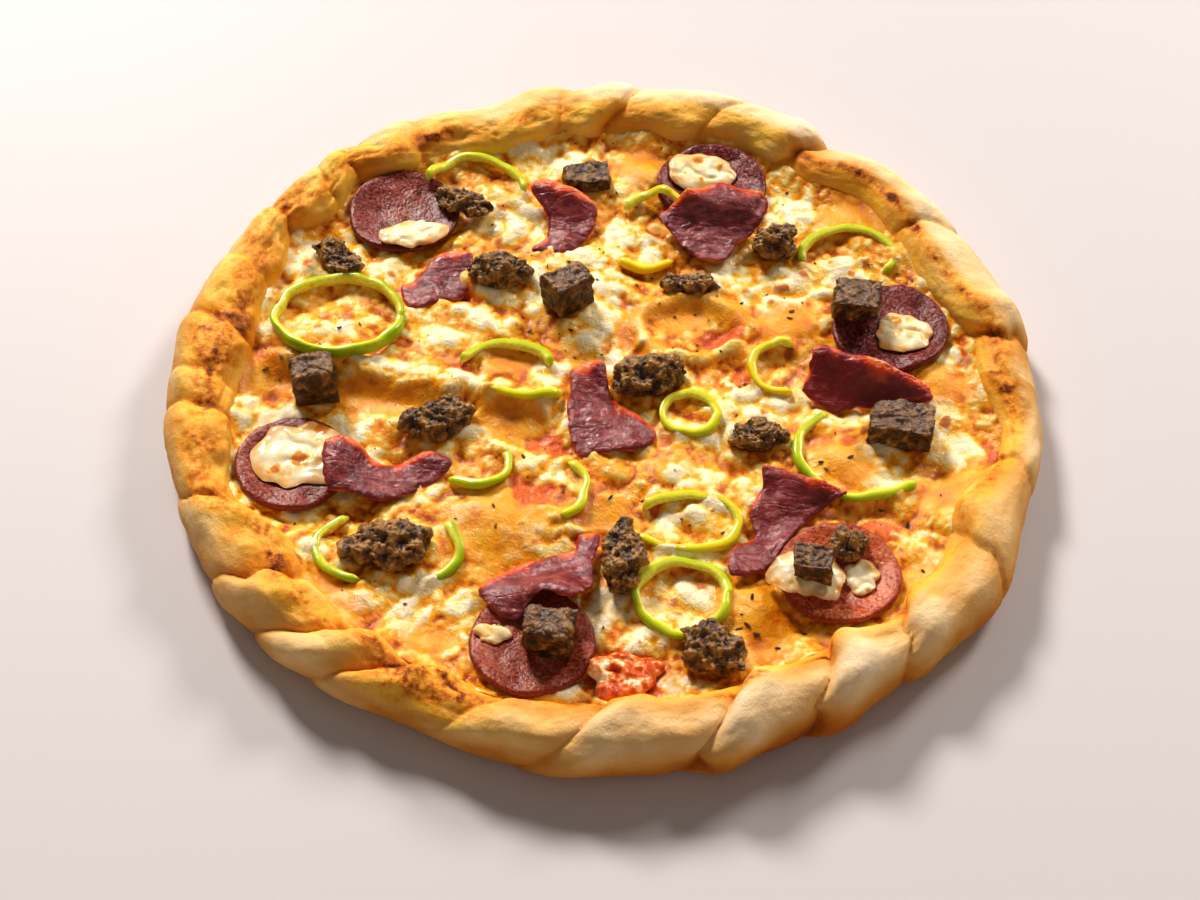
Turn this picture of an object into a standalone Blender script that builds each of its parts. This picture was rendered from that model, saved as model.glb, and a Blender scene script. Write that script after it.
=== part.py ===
"""Ham and salami pizza, whole and uncut, about 33 cm across.

A flat dough base with a rolled and pleated rim holds a layer of melted cheese with herb flakes.
On the cheese lie salami discs, small pools of cheese, rings and strips of green pepper, curled
slices of cured ham, chunks of roast meat and a spoonful of tomato sauce. Every topping rests on
what lies under it. Numbers are millimetres and degrees, and the meshes are written in metres.
The origin is at the middle of the underside, +X to the eater's right and +Y away from them.
"""

import bmesh
import bpy
from math import atan2, cos, degrees, exp, hypot, pi, radians, sin
from mathutils import Matrix, Vector, noise
from mathutils.bvhtree import BVHTree
from mathutils.geometry import delaunay_2d_cdt

MM = 0.001

# Base and rolled rim
RIM_OUTER = 163.5
RIM_INNER = 138.0
RIM_TOP = 22.5
BELLY_HEIGHT = 9.0
FLOOR_TOP = 6.0
CHEESE_EDGE = 12.5
COLUMNS = 160
RIM_RINGS = (-42, -14, 14, 40, 64, 88, 112, 136, 158)
ROUNDNESS = 0.86

# Where the rim is uneven: angle, spread, then what it adds to outer radius, inner radius and top
RIM_LUMPS = (
    (8, 6, 1.5, 5.0, 0.0), (24, 7, -1.0, -3.0, 0.5), (42, 8, 0.0, 4.5, 0.0),
    (52, 5, -4.0, -3.0, -1.5), (67, 7, 0.5, 1.5, 0.5), (75, 6, 2.0, -2.0, 1.0),
    (92, 12, -1.0, -3.5, 0.0), (109, 7, -4.0, -6.0, -1.0), (133, 5, 1.0, 8.0, 1.0),
    (148, 5, 0.0, 7.0, 0.0), (172, 9, 2.5, -3.0, 1.5), (200, 8, 0.0, 4.5, 0.0),
    (214, 6, 0.0, -6.5, 0.5), (246, 13, -5.0, 0.5, -3.5), (260, 8, 0.0, 3.0, 0.0),
    (281, 8, 1.0, 2.0, 1.0), (299, 9, 1.0, 1.0, 1.5), (313, 7, 1.0, 6.5, 0.0),
    (325, 7, 6.5, 6.0, 0.5), (350, 9, 1.5, 12.0, -6.0),
)

# The underside stops this far inside the outer face, and folds are measured along this radius
FOOT_INSET = 13.0
CREASE_RADIUS = 150.0

# Folds of the rolled dough: angle at the top of the roll, depth
CREASES = (
    (8, 3.4), (30, 1.6), (56, 4.0), (70, 1.4), (86, 3.4), (97, 2.0), (120, 2.6), (131, 3.2),
    (138, 2.2), (147, 3.2), (158, 1.6), (170, 3.0), (180, 2.4), (187, 3.4), (203, 3.2),
    (217, 4.2), (229, 4.4), (240, 3.6), (253, 1.8), (268, 4.0), (284, 4.4), (300, 4.2),
    (314, 3.8), (330, 3.0), (345, 1.6),
)
FOLD_DEPTH = 1.35
FOLD_LIP = 3.4
FOLD_BACK = 11.0

# How far the inner wall stands in from the rim's line: dough at the cheese's edge and at the
# floor, then the cheese at the same two heights
WALL_INSETS = (0.0, 0.6)
CHEESE_INSETS = (0.5, 1.1)

# Melted cheese
CHEESE_BASE = 10.4
CHEESE_SPACING = 7.2
CHEESE_SWELL = 1.3
CHEESE_RIPPLE = 0.6
EDGE_BLEND = 14.0
DOMES = (
    (-40, -58, 16, 4.5), (51, -101, 14, 4.5), (87, -35, 13, 3.5), (71, 31, 11, 2.5),
    (124, 2, 11, 3.5), (102, 80, 14, 3.0), (-90, -99, 14, 3.0), (-16, -58, 11, 2.5),
    (21, -42, 10, 2.0), (17, 112, 9, 4.0), (-4, 121, 10, 2.0), (-118, 78, 10, 2.0),
)
RIDGE_LINE = ((-145, 18), (-102, 9), (-69, 1), (-16, -7))
RIDGE_HEIGHT = 6.0
RIDGE_SLOPE = 11.0
RIDGE_BACK = 32.0
CRATER = (34, 29, 20, 15, 3.2)

# Herb flakes on the cheese: x, y, turn
FLAKES = (
    (-127, 9, 20), (-122, 12, 80), (-102, 33, 40), (118, -58, 15), (113, -74, 70), (106, -64, 130),
    (55, 0, 60), (-29, -34, 10), (91, -36, 100), (104, -48, 35), (64, -101, 25), (45, -104, 75),
    (-108, -68, 50), (-88, -98, 110), (-56, -94, 5), (4, 56, 90), (63, 52, 30), (-26, 15, 120),
    (24, 45, 150), (-60, 22, 65), (30, -104, 95), (-6, -30, 160),
)
FLAKE_SIZE = (2.8, 1.3, 1.0)

# Salami: x, y, radius, rise of the outer edge
SALAMI = (
    (-80, 90, 22.5, 1.5), (45, 105, 22.5, 2.0), (111, 27, 22.5, 1.5),
    (83, -87, 22.0, 2.5), (-24, -115, 22.0, 1.0), (-113, -38, 21.5, 1.0),
)
SALAMI_THICK = 2.4

# Cheese that melted over the toppings: x, y, half length, half width, turn
POOLS = (
    (-76, 76, 15, 8, 10), (41, 111, 15, 11, -10), (115, 24, 11, 10, 0), (-110, -35, 17, 16, 20),
    (71, -90, 12, 10, -5), (91, -89, 6, 8, 0), (-38, -112, 7, 4, -10),
)
POOL_THICK = 1.3
SAUCE = (7, -127, 13, 10, 15)
SAUCE_THICK = 2.4

# Pepper: x, y, half length, half width, first angle, last angle, height
PEPPERS = (
    (-52, 100, 20, 20, 5, 165, 3.6), (-102, 32, 24, 21, 0, 360, 5.4), (20, 84, 14, 14, 5, 140, 3.4),
    (17, 72, 13, 12, 215, 325, 3.4), (98, 66, 18, 14, -40, 190, 3.0), (-36, 5, 17, 13, 15, 170, 3.4),
    (-29, 3, 18, 11, 225, 320, 3.0), (68, 9, 11, 12, 60, 290, 3.6), (33, -14, 10, 10, 0, 360, 3.4),
    (-46, -38, 12, 10, 215, 400, 3.2), (-19, -49, 13, 14, -75, 60, 3.0), (96, -32, 24, 21, 120, 320, 3.2),
    (31, -64, 18, 12, -160, 150, 3.2), (28, -96, 16, 15, 0, 360, 3.8), (-76, -75, 26, 17, 125, 250, 2.8),
    (-76, -75, 26, 17, -55, 40, 2.8),
)
PEPPER_WIDE = 3.2
PEPPER_END = 0.6
PEPPER_STEP = 5.6

# Ham slices: the outline as x, y and rise over what lies under it
HAM = (
    ((-29, 100, 5), (-24, 104, 8), (-15, 100, 9), (-6, 96, 7), (-2, 91, 4), (-3, 83, 1),
     (-9, 74, 0), (-17, 70, 0), (-28, 71, 0), (-22, 79, 0), (-23, 90, 2)),
    ((-64, 67, 2), (-53, 68, 3), (-51, 61, 1), (-54, 45, 0), (-64, 42, 0), (-75, 39, 0),
     (-79, 49, 0), (-74, 53, 1), (-69, 61, 1)),
    ((28, 88, 3), (40, 94, 4), (48, 97, 5), (57, 94, 4), (65, 93, 3), (67, 88, 2), (62, 78, 1),
     (54, 70, 0), (48, 62, 0), (40, 62, 0), (33, 68, 0), (27, 77, 1), (23, 84, 2)),
    ((81, 11, 12), (91, 8, 13), (104, 4, 12), (115, 0, 8), (123, -4, 3), (123, -9, 1),
     (113, -10, 0), (97, -10, 0), (86, -12, 0), (76, -4, 1), (78, 3, 6)),
    ((-11, 5, 5), (0, 9, 7), (2, 2, 3), (4, -7, 1), (12, -12, 0), (20, -23, 0), (14, -31, 1),
     (1, -32, 1), (-9, -33, 0), (-13, -15, 1), (-12, -3, 2)),
    ((-102, -36, 3), (-99, -31, 4), (-89, -32, 5), (-83, -37, 1), (-74, -37, 1), (-66, -33, 3),
     (-59, -34, 4), (-55, -39, 1), (-64, -47, 0), (-79, -55, 2), (-86, -55, 6), (-92, -53, 6),
     (-99, -51, 2)),
    ((-43, -93, 2), (-32, -85, 2), (-18, -79, 2), (-10, -77, 2), (-8, -71, 3), (-1, -71, 3),
     (-3, -83, 5), (-4, -97, 8), (-11, -103, 10), (-20, -101, 10), (-25, -103, 6), (-28, -107, 1),
     (-35, -106, 0), (-41, -99, 1)),
    ((59, -42, 7), (71, -46, 7), (88, -53, 1), (81, -57, 0), (71, -66, 0), (63, -78, 1),
     (56, -87, 2), (47, -90, 3), (44, -86, 5), (46, -78, 5), (54, -71, 1), (53, -59, 1),
     (58, -50, 4)),
)
HAM_THICK = 1.3
HAM_SPACING = 7.0

# Roast meat: x, y, length, depth, height, turn, and whether it is a cube or a crumbly lump
MEAT = (
    (-6, 109, 19, 12, 7, 8, "cube"), (-56, 93, 20, 12, 7, -5, "lump"),
    (-104, 63, 20, 11, 8, -40, "lump"), (-41, 55, 21, 14, 11, 10, "lump"),
    (-13, 42, 17, 12, 17, 35, "cube"), (69, 72, 18, 13, 11, 15, "lump"),
    (35, 51, 20, 10, 6, -5, "lump"), (98, 34, 18, 14, 13, -8, "cube"),
    (-108, -3, 17, 12, 17, 12, "cube"), (18, 3, 25, 16, 10, 20, "lump"),
    (-60, -18, 25, 14, 9, 10, "lump"), (58, -25, 20, 12, 7, 5, "lump"),
    (111, -22, 24, 15, 11, -10, "cube"), (-75, -75, 27, 18, 11, 5, "lump"),
    (7, -82, 13, 26, 11, -8, "lump"), (-18, -116, 18, 13, 15, -12, "cube"),
    (37, -120, 22, 16, 10, -25, "lump"), (73, -90, 14, 10, 10, -8, "cube"),
    (87, -78, 12, 11, 9, 20, "lump"),
)

# How close pieces come to each other, and how they are lifted clear
GAP = 0.35
LEAST_GAP = 0.2
LIFT_STEP = 0.25
LIFT_TRIES = 24
FOOT_REACH = 1.6


def remove_all_objects():
    for obj in list(bpy.data.objects):
        bpy.data.objects.remove(obj, do_unlink=True)


def new_collection(name):
    collection = bpy.data.collections.new(name)
    bpy.context.scene.collection.children.link(collection)
    return collection


def material(name, colour, roughness):
    """A plain Principled BSDF, since none of the food is metal."""
    mat = bpy.data.materials.new(name)
    mat.use_nodes = True
    shader = mat.node_tree.nodes["Principled BSDF"]
    shader.inputs["Base Color"].default_value = (*colour, 1.0)
    shader.inputs["Roughness"].default_value = roughness
    shader.inputs["Metallic"].default_value = 0.0
    mat.diffuse_color = (*colour, 1.0)
    return mat


def add_object(name, bm, collection, mat):
    """Write a bmesh drawn in millimetres as an object in metres, in triangles alone."""
    bmesh.ops.triangulate(bm, faces=bm.faces)
    bmesh.ops.scale(bm, vec=(MM, MM, MM), verts=bm.verts)
    mesh = bpy.data.meshes.new(name)
    bm.to_mesh(mesh)
    bm.free()
    mesh.materials.append(mat)
    obj = bpy.data.objects.new(name, mesh)
    collection.objects.link(obj)
    return obj


def evaluated_mesh(obj):
    depsgraph = bpy.context.evaluated_depsgraph_get()
    return bpy.data.meshes.new_from_object(obj.evaluated_get(depsgraph), depsgraph=depsgraph)


def smoothstep(value):
    value = min(max(value, 0.0), 1.0)
    return value * value * (3.0 - 2.0 * value)


def turned(x, y, angle):
    """The point x, y turned by an angle in degrees."""
    turn = radians(angle)
    return x * cos(turn) - y * sin(turn), x * sin(turn) + y * cos(turn)


def swell(x, y, size, seed):
    """Smooth unevenness from about -1 to 1 whose lumps are about the given size."""
    return noise.noise(Vector((x / size, y / size, seed * 7.31)))


def points_and_faces(obj):
    """A finished object's mesh, in millimetres."""
    mesh = evaluated_mesh(obj)
    points = [v.co / MM for v in mesh.vertices]
    faces = [tuple(p.vertices) for p in mesh.polygons]
    bpy.data.meshes.remove(mesh)
    return points, faces


class Pile:
    """What has been laid down so far, so that the next piece can rest on it."""

    def __init__(self):
        self.layers = []

    def add(self, obj, carries=True):
        points, faces = points_and_faces(obj)
        tree = BVHTree.FromPolygons(points, faces)
        low = Vector([min(p[i] for p in points) for i in range(3)])
        high = Vector([max(p[i] for p in points) for i in range(3)])
        self.layers.append((tree, low, high, carries))

    def top(self, x, y):
        """Height of the highest surface under the point x, y."""
        best = FLOOR_TOP
        for tree, low, high, carries in self.layers:
            if not carries or not (low.x <= x <= high.x and low.y <= y <= high.y):
                continue
            hit = tree.ray_cast(Vector((x, y, 90.0)), Vector((0, 0, -1)))[0]
            if hit is not None:
                best = max(best, hit.z)
        return best

    def rest(self, x, y, reach=FOOT_REACH):
        """Highest surface within reach of the point, so that flat facets clear it too."""
        around = [self.top(x + reach * cos(i * pi / 3), y + reach * sin(i * pi / 3)) for i in range(6)]
        return max([self.top(x, y)] + around)

    def touches(self, obj):
        """True where the piece, or the same piece a little lower, crosses an earlier one."""
        points, faces = points_and_faces(obj)
        for drop in (0.0, LEAST_GAP):
            lowered = [p - Vector((0, 0, drop)) for p in points]
            tree = BVHTree.FromPolygons(lowered, faces)
            if any(tree.overlap(layer[0]) for layer in self.layers):
                return True
        return False

    def lay(self, make):
        """Make a piece, and make it again a little higher until it touches nothing."""
        for attempt in range(LIFT_TRIES):
            obj = make(GAP + attempt * LIFT_STEP)
            if not self.touches(obj):
                self.add(obj)
                return obj
            name = obj.name
            bpy.data.objects.remove(obj, do_unlink=True)
        raise RuntimeError(name + " crosses what lies beside it")


# Base and rolled rim


def lump_sum(angle, column):
    total = 0.0
    for lump in RIM_LUMPS:
        away = (angle - lump[0] + 180.0) % 360.0 - 180.0
        total += lump[column] * exp(-(away / lump[1]) ** 2)
    return total


def rim_inner(angle):
    return RIM_INNER + lump_sum(angle, 3)


def rim_outer(angle):
    return RIM_OUTER + lump_sum(angle, 2)


def rim_top(angle):
    return RIM_TOP + lump_sum(angle, 4)


def rim_twist(angle):
    """How far the folds lean round the pizza from the outer foot to the inner one."""
    front = (angle - 250.0 + 180.0) % 360.0 - 180.0
    back = (angle - 75.0 + 180.0) % 360.0 - 180.0
    return 4.5 + 9.5 * exp(-(front / 55.0) ** 2) + 4.0 * exp(-(back / 25.0) ** 2)


def fold_relief(angle):
    """Depth of the folds at an angle: a quick lip on one side and a slow back on the other."""
    relief = 0.0
    for place, depth in CREASES:
        away = (angle - place + 180.0) % 360.0 - 180.0
        arc = radians(away) * CREASE_RADIUS
        shape = exp(-arc / FOLD_LIP) if arc > 0 else exp(arc / FOLD_BACK)
        relief += depth * (0.4 * exp(-((arc - 9.0) / 6.0) ** 2) - shape)
    return FOLD_DEPTH * relief


def rim_point(angle, section):
    """A point of the roll: section -90 is its underside, 0 its outside, 90 its top, 180 its inside."""
    place = angle + rim_twist(angle) * (section / 180.0 - 0.5)
    outer = rim_outer(place)
    inner = rim_inner(place)
    middle = (outer + inner) / 2
    half = (outer - inner) / 2
    turn = radians(section)
    side = cos(turn)
    up = sin(turn)
    reach = abs(side) ** ROUNDNESS * (1 if side > 0 else -1)
    rise = abs(up) ** ROUNDNESS * (1 if up > 0 else -1)
    above = rim_top(place) - BELLY_HEIGHT
    fade = smoothstep((section + 68.0) / 40.0) * smoothstep((172.0 - section) / 30.0)
    relief = fade * (fold_relief(angle) + 1.2 * swell(place / 3.0, section / 14.0, 3.0, 1))
    radius = middle + half * reach + relief * side
    height = BELLY_HEIGHT + (above if rise > 0 else BELLY_HEIGHT) * rise + relief * max(up, 0.0)
    return ring_point(radius, place, max(height, 0.0))


def ring_point(radius, angle, height):
    return Vector((radius * cos(radians(angle)), radius * sin(radians(angle)), height))


def column_angles():
    return [360.0 * i / COLUMNS for i in range(COLUMNS)]


def inner_wall(angle, inset, height):
    """Where the roll's inner side meets the cheese, seen in the same columns as the roll."""
    place = angle + rim_twist(angle) * 0.5
    return ring_point(rim_inner(place) - inset, place, height)


def join_rings(bm, lower, upper):
    for i, vert in enumerate(lower):
        after = (i + 1) % len(lower)
        bm.faces.new((vert, lower[after], upper[after], upper[i]))


def make_dough(collection, mat):
    """One closed loft: underside, roll, inner wall and the floor that carries the cheese."""
    bm = bmesh.new()
    rings = [[bm.verts.new(ring_point(rim_outer(a) - FOOT_INSET, a, 0.0)) for a in column_angles()]]
    for section in RIM_RINGS:
        rings.append([bm.verts.new(rim_point(a, section)) for a in column_angles()])
    for inset, height in zip(WALL_INSETS, (CHEESE_EDGE, FLOOR_TOP)):
        rings.append([bm.verts.new(inner_wall(a, inset, height)) for a in column_angles()])
    for lower, upper in zip(rings, rings[1:]):
        join_rings(bm, lower, upper)
    bm.faces.new(list(reversed(rings[0])))
    bm.faces.new(rings[-1])
    bmesh.ops.recalc_face_normals(bm, faces=bm.faces)
    return add_object("dough", bm, collection, mat)


# Melted cheese


def ridge_height(x, y):
    """A long dough bubble that drops towards the front along a slanting line."""
    first = RIDGE_LINE[0]
    last = RIDGE_LINE[-1]
    if x < first[0] or x > last[0] + 14:
        return 0.0
    line = last[1]
    for (x0, y0), (x1, y1) in zip(RIDGE_LINE, RIDGE_LINE[1:]):
        if x0 <= x <= x1:
            line = y0 + (y1 - y0) * (x - x0) / (x1 - x0)
    behind = y - line
    face = smoothstep(1.0 + behind / RIDGE_SLOPE)
    slope = exp(-max(behind, 0.0) / RIDGE_BACK)
    return RIDGE_HEIGHT * face * slope * smoothstep((last[0] + 14 - x) / 45.0)


def crater_height(x, y):
    """A burst bubble with a raised rim."""
    cx, cy, rx, ry, rise = CRATER
    away = hypot((x - cx) / rx, (y - cy) / ry)
    return rise * exp(-((away - 1.0) / 0.24) ** 2) - 0.8 * exp(-(away / 0.7) ** 2)


def cheese_height(x, y):
    """Top of the cheese: soft lumps, dough bubbles, the ridge and the climb to the rim."""
    height = CHEESE_BASE + CHEESE_SWELL * swell(x, y, 24.0, 2) + CHEESE_RIPPLE * swell(x, y, 10.0, 3)
    for cx, cy, radius, rise in DOMES:
        height += rise * exp(-(hypot(x - cx, y - cy) / radius) ** 2)
    height += ridge_height(x, y) + crater_height(x, y)
    edge = rim_inner(degrees(atan2(y, x)) % 360.0) - hypot(x, y)
    blend = smoothstep(edge / EDGE_BLEND)
    return CHEESE_EDGE + (height - CHEESE_EDGE) * blend


def grid_inside(spacing, low, high, keep):
    """Points of a triangular grid for which keep is true."""
    points = []
    row = 0
    y = low[1]
    while y <= high[1]:
        x = low[0] + (spacing / 2 if row % 2 else 0.0)
        while x <= high[0]:
            if keep(x, y):
                points.append((x, y))
            x += spacing
        y += spacing * 0.866
        row += 1
    return points


def sheet_faces(outline, inside):
    """Triangles over a closed outline with some points inside it, all facing up."""
    points = [Vector(p[:2]) for p in list(outline) + list(inside)]
    count = len(outline)
    edges = [(i, (i + 1) % count) for i in range(count)]
    result = delaunay_2d_cdt(points, edges, [], 1, 1e-6)
    if len(result[0]) != len(points):
        raise RuntimeError("the outline crosses itself")
    return [tuple(face) for face in result[2]]


def make_cheese(collection, mat):
    """A layer between the dough's floor and the cheese's top, a hair inside the rim."""
    wall = [inner_wall(a, CHEESE_INSETS[0], CHEESE_EDGE) for a in column_angles()]
    foot = [inner_wall(a, CHEESE_INSETS[1], FLOOR_TOP + GAP) for a in column_angles()]

    def clear_of_wall(x, y):
        angle = degrees(atan2(y, x)) % 360.0
        nearest = min(rim_inner(angle + step) for step in (-3, 0, 3))
        return hypot(x, y) < nearest - 0.55 * CHEESE_SPACING

    reach = RIM_OUTER
    inside = grid_inside(CHEESE_SPACING, (-reach, -reach), (reach, reach), clear_of_wall)
    bm = bmesh.new()
    top = [bm.verts.new(p) for p in wall]
    top += [bm.verts.new((x, y, cheese_height(x, y))) for x, y in inside]
    bottom = [bm.verts.new(p) for p in foot]
    for face in sheet_faces([p[:2] for p in wall], inside):
        bm.faces.new([top[i] for i in face])
    join_rings(bm, bottom, top[:COLUMNS])
    bm.faces.new(list(reversed(bottom)))
    bmesh.ops.recalc_face_normals(bm, faces=bm.faces)
    return add_object("cheese", bm, collection, mat)


def fuse_flakes(cheese, mat):
    """Lay small dry leaves on the cheese, half sunk, and join them to it."""
    flakes = new_collection("flakes to fuse")
    pile = Pile()
    pile.add(cheese)
    for number, (x, y, turn) in enumerate(FLAKES, start=1):
        bm = bmesh.new()
        bmesh.ops.create_cube(bm, size=1.0)
        bmesh.ops.scale(bm, vec=FLAKE_SIZE, verts=bm.verts)
        place = Matrix.Translation((x, y, pile.top(x, y) + 0.15)) @ Matrix.Rotation(radians(turn), 4, "Z")
        bmesh.ops.transform(bm, matrix=place, verts=bm.verts)
        flake = add_object(f"flake_{number}", bm, flakes, mat)
        flake.hide_render = True
        flake.display_type = "WIRE"
    union = cheese.modifiers.new("flakes", "BOOLEAN")
    union.operation = "UNION"
    union.operand_type = "COLLECTION"
    union.collection = flakes
    union.solver = "EXACT"
    fused = evaluated_mesh(cheese)
    fused.materials.clear()
    fused.materials.append(mat)
    cheese.modifiers.clear()
    cheese.data = fused
    for flake in list(flakes.objects):
        bpy.data.objects.remove(flake, do_unlink=True)
    bpy.data.collections.remove(flakes)


# Toppings that lie flat


def oval(x, y, length, width, turn, count, uneven, seed):
    """An uneven oval outline."""
    outline = []
    for i in range(count):
        angle = 360.0 * i / count
        grow = 1.0 + uneven * swell(cos(radians(angle)) * 2, sin(radians(angle)) * 2, 1.3, seed)
        px, py = turned(length * grow * cos(radians(angle)), width * grow * sin(radians(angle)), turn)
        outline.append((x + px, y + py))
    return outline


def make_slab(name, outline, inside, bottom, thickness, collection, mat):
    """A thin sheet laid at the heights that bottom gives, thickened upwards."""
    bm = bmesh.new()
    verts = [bm.verts.new((x, y, bottom(x, y))) for x, y in list(outline) + list(inside)]
    for face in sheet_faces(outline, inside):
        bm.faces.new([verts[i] for i in face])
    bmesh.ops.recalc_face_normals(bm, faces=bm.faces)
    if sum(face.normal.z for face in bm.faces) < 0:
        bmesh.ops.reverse_faces(bm, faces=bm.faces)
    obj = add_object(name, bm, collection, mat)
    solid = obj.modifiers.new("thickness", "SOLIDIFY")
    solid.thickness = thickness * MM
    solid.offset = 1.0
    obj.modifiers.new("triangles", "TRIANGULATE")
    return obj


def inside_oval(x, y, length, width, turn, rings):
    """Points on smaller ovals inside one, and its middle."""
    points = [(x, y)]
    for share, count in rings:
        for i in range(count):
            px, py = turned(length * share * cos(2 * pi * i / count),
                            width * share * sin(2 * pi * i / count), turn)
            points.append((x + px, y + py))
    return points


def lay_salami(pile, collection, mat):
    for number, (x, y, radius, rise) in enumerate(SALAMI, start=1):
        outline = oval(x, y, radius, radius, 0, 24, 0.03, number)
        inside = inside_oval(x, y, radius, radius, 15, ((0.62, 11),))

        def make(lift):
            def bottom(px, py):
                share = hypot(px - x, py - y) / radius
                return pile.rest(px, py, 2.4) + lift + rise * share ** 4
            return make_slab(f"salami_{number}", outline, inside, bottom, SALAMI_THICK, collection, mat)

        pile.lay(make)


def lay_pools(pile, collection, mat):
    for number, (x, y, length, width, turn) in enumerate(POOLS, start=1):
        outline = oval(x, y, length, width, turn, 16, 0.22, 20 + number)
        inside = inside_oval(x, y, length, width, turn, ((0.5, 6),))

        def make(lift):
            def bottom(px, py):
                return pile.rest(px, py) + lift
            return make_slab(f"cheese_pool_{number}", outline, inside, bottom, POOL_THICK, collection, mat)

        pile.lay(make)


def lay_sauce(pile, collection, mat):
    x, y, length, width, turn = SAUCE
    outline = oval(x, y, length, width, turn, 16, 0.25, 31)
    inside = inside_oval(x, y, length, width, turn, ((0.55, 8),))

    def make(lift):
        def bottom(px, py):
            return pile.rest(px, py) + lift
        return make_slab("tomato_sauce", outline, inside, bottom, SAUCE_THICK, collection, mat)

    pile.lay(make)


# Pepper rings and strips


def pepper_path(x, y, length, width, first, last, number):
    """Points along a wavy oval arc, and whether it closes."""
    closed = last - first >= 360
    count = max(5, round(radians(last - first) * (length + width) / 2 / PEPPER_STEP))
    steps = count if closed else count + 1
    path = []
    for i in range(steps):
        angle = radians(first + (last - first) * i / count)
        grow = 1.0 + 0.09 * swell(cos(angle) * 2, sin(angle) * 2, 1.0, 40 + number)
        path.append((x + length * grow * cos(angle), y + width * grow * sin(angle)))
    return path, closed


def lay_peppers(pile, collection, mat):
    for number, (*shape, full_height) in enumerate(PEPPERS, start=1):
        path, closed = pepper_path(*shape, number)

        def make(lift):
            bm = bmesh.new()
            sections = []
            for i, (px, py) in enumerate(path):
                before = path[(i - 1) % len(path)] if closed or i else path[0]
                after = path[(i + 1) % len(path)] if closed or i < len(path) - 1 else path[-1]
                along = Vector((after[0] - before[0], after[1] - before[1])).normalized()
                side = Vector((along.y, -along.x)) * PEPPER_WIDE / 2
                low = pile.rest(px, py, 2.2) + lift
                between = closed or 0 < i < len(path) - 1
                tall = full_height if between else full_height * PEPPER_END
                corners = ((-1.0, 0.0), (1.0, 0.0), (0.8, tall), (-0.8, tall))
                sections.append([bm.verts.new((px + side.x * a, py + side.y * a, low + b))
                                 for a, b in corners])
            pairs = list(zip(sections, sections[1:]))
            if closed:
                pairs.append((sections[-1], sections[0]))
            for here, there in pairs:
                join_rings(bm, here, there)
            if not closed:
                bm.faces.new(list(reversed(sections[0])))
                bm.faces.new(sections[-1])
            bmesh.ops.recalc_face_normals(bm, faces=bm.faces)
            return add_object(f"pepper_{number}", bm, collection, mat)

        pile.lay(make)


# Ham


def smooth_outline(points, per_span):
    """A closed Catmull-Rom curve through points that carry x, y and a rise."""
    count = len(points)
    curve = []
    for i in range(count):
        p0, p1, p2, p3 = (Vector(points[(i + j) % count]) for j in (-1, 0, 1, 2))
        for step in range(per_span):
            t = step / per_span
            curve.append(0.5 * (2 * p1 + (p2 - p0) * t + (2 * p0 - 5 * p1 + 4 * p2 - p3) * t * t
                                + (3 * p1 - p0 - 3 * p2 + p3) * t * t * t))
    return curve


def inside_outline(x, y, outline, margin):
    """True where a point lies inside a closed outline and at least margin from its corners."""
    crossings = 0
    for a, b in zip(outline, list(outline[1:]) + [outline[0]]):
        if (a[1] > y) != (b[1] > y) and x < a[0] + (b[0] - a[0]) * (y - a[1]) / (b[1] - a[1]):
            crossings += 1
    near = min(hypot(x - p[0], y - p[1]) for p in outline)
    return crossings % 2 == 1 and near > margin


def rise_inside(x, y, outline):
    """The outline's rise spread over the slice, nearest parts first."""
    total = 0.0
    weight = 0.0
    for px, py, rise in outline:
        share = 1.0 / (hypot(x - px, y - py) + 0.4) ** 3
        total += share * rise
        weight += share
    return total / weight


def lay_ham(pile, collection, mat):
    for number, points in enumerate(HAM, start=1):
        outline = smooth_outline(points, 2)
        low = (min(p[0] for p in outline), min(p[1] for p in outline))
        high = (max(p[0] for p in outline), max(p[1] for p in outline))
        inside = grid_inside(HAM_SPACING, low, high,
                             lambda x, y: inside_outline(x, y, outline, HAM_SPACING * 0.45))

        def make(lift):
            def bottom(px, py):
                return pile.rest(px, py) + lift + max(rise_inside(px, py, outline), 0.0)
            flat = [(p[0], p[1]) for p in outline]
            return make_slab(f"ham_{number}", flat, inside, bottom, HAM_THICK, collection, mat)

        pile.lay(make)


# Roast meat


def lay_meat(pile, collection, mat):
    for number, (x, y, length, depth, height, turn, kind) in enumerate(MEAT, start=1):

        def make(lift):
            bm = bmesh.new()
            corners = [turned(length * i / 3, depth * j / 3, turn) for i in (-1, 1) for j in (-1, 1)]
            base = sum(pile.rest(x + px, y + py) for px, py in corners) / len(corners)
            if kind == "cube":
                bmesh.ops.create_cube(bm, size=1.0)
                bmesh.ops.subdivide_edges(bm, edges=bm.edges, cuts=1, use_grid_fill=True)
                rough = 0.10
            else:
                bmesh.ops.create_icosphere(bm, subdivisions=2, radius=0.56)
                rough = 0.20
            for vert in bm.verts:
                push = noise.noise(vert.co * 2.6 + Vector((number * 3.7, 0.0, 0.0)))
                round_off = 1.0 - 0.16 * (vert.co.length - 0.5) if kind == "cube" else 1.0
                co = vert.co * (round_off + 2.0 * rough * push)
                share = min(max(co.z + 0.5, 0.0), 1.0)
                px, py = turned(co.x * length, co.y * depth, turn)
                ground = pile.rest(x + px, y + py) + lift
                body = base + share * height if vert.co.z > -0.2 else ground
                vert.co = (x + px, y + py, max(body, ground))
            bmesh.ops.recalc_face_normals(bm, faces=bm.faces)
            return add_object(f"meat_{number}", bm, collection, mat)

        pile.lay(make)


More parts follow.
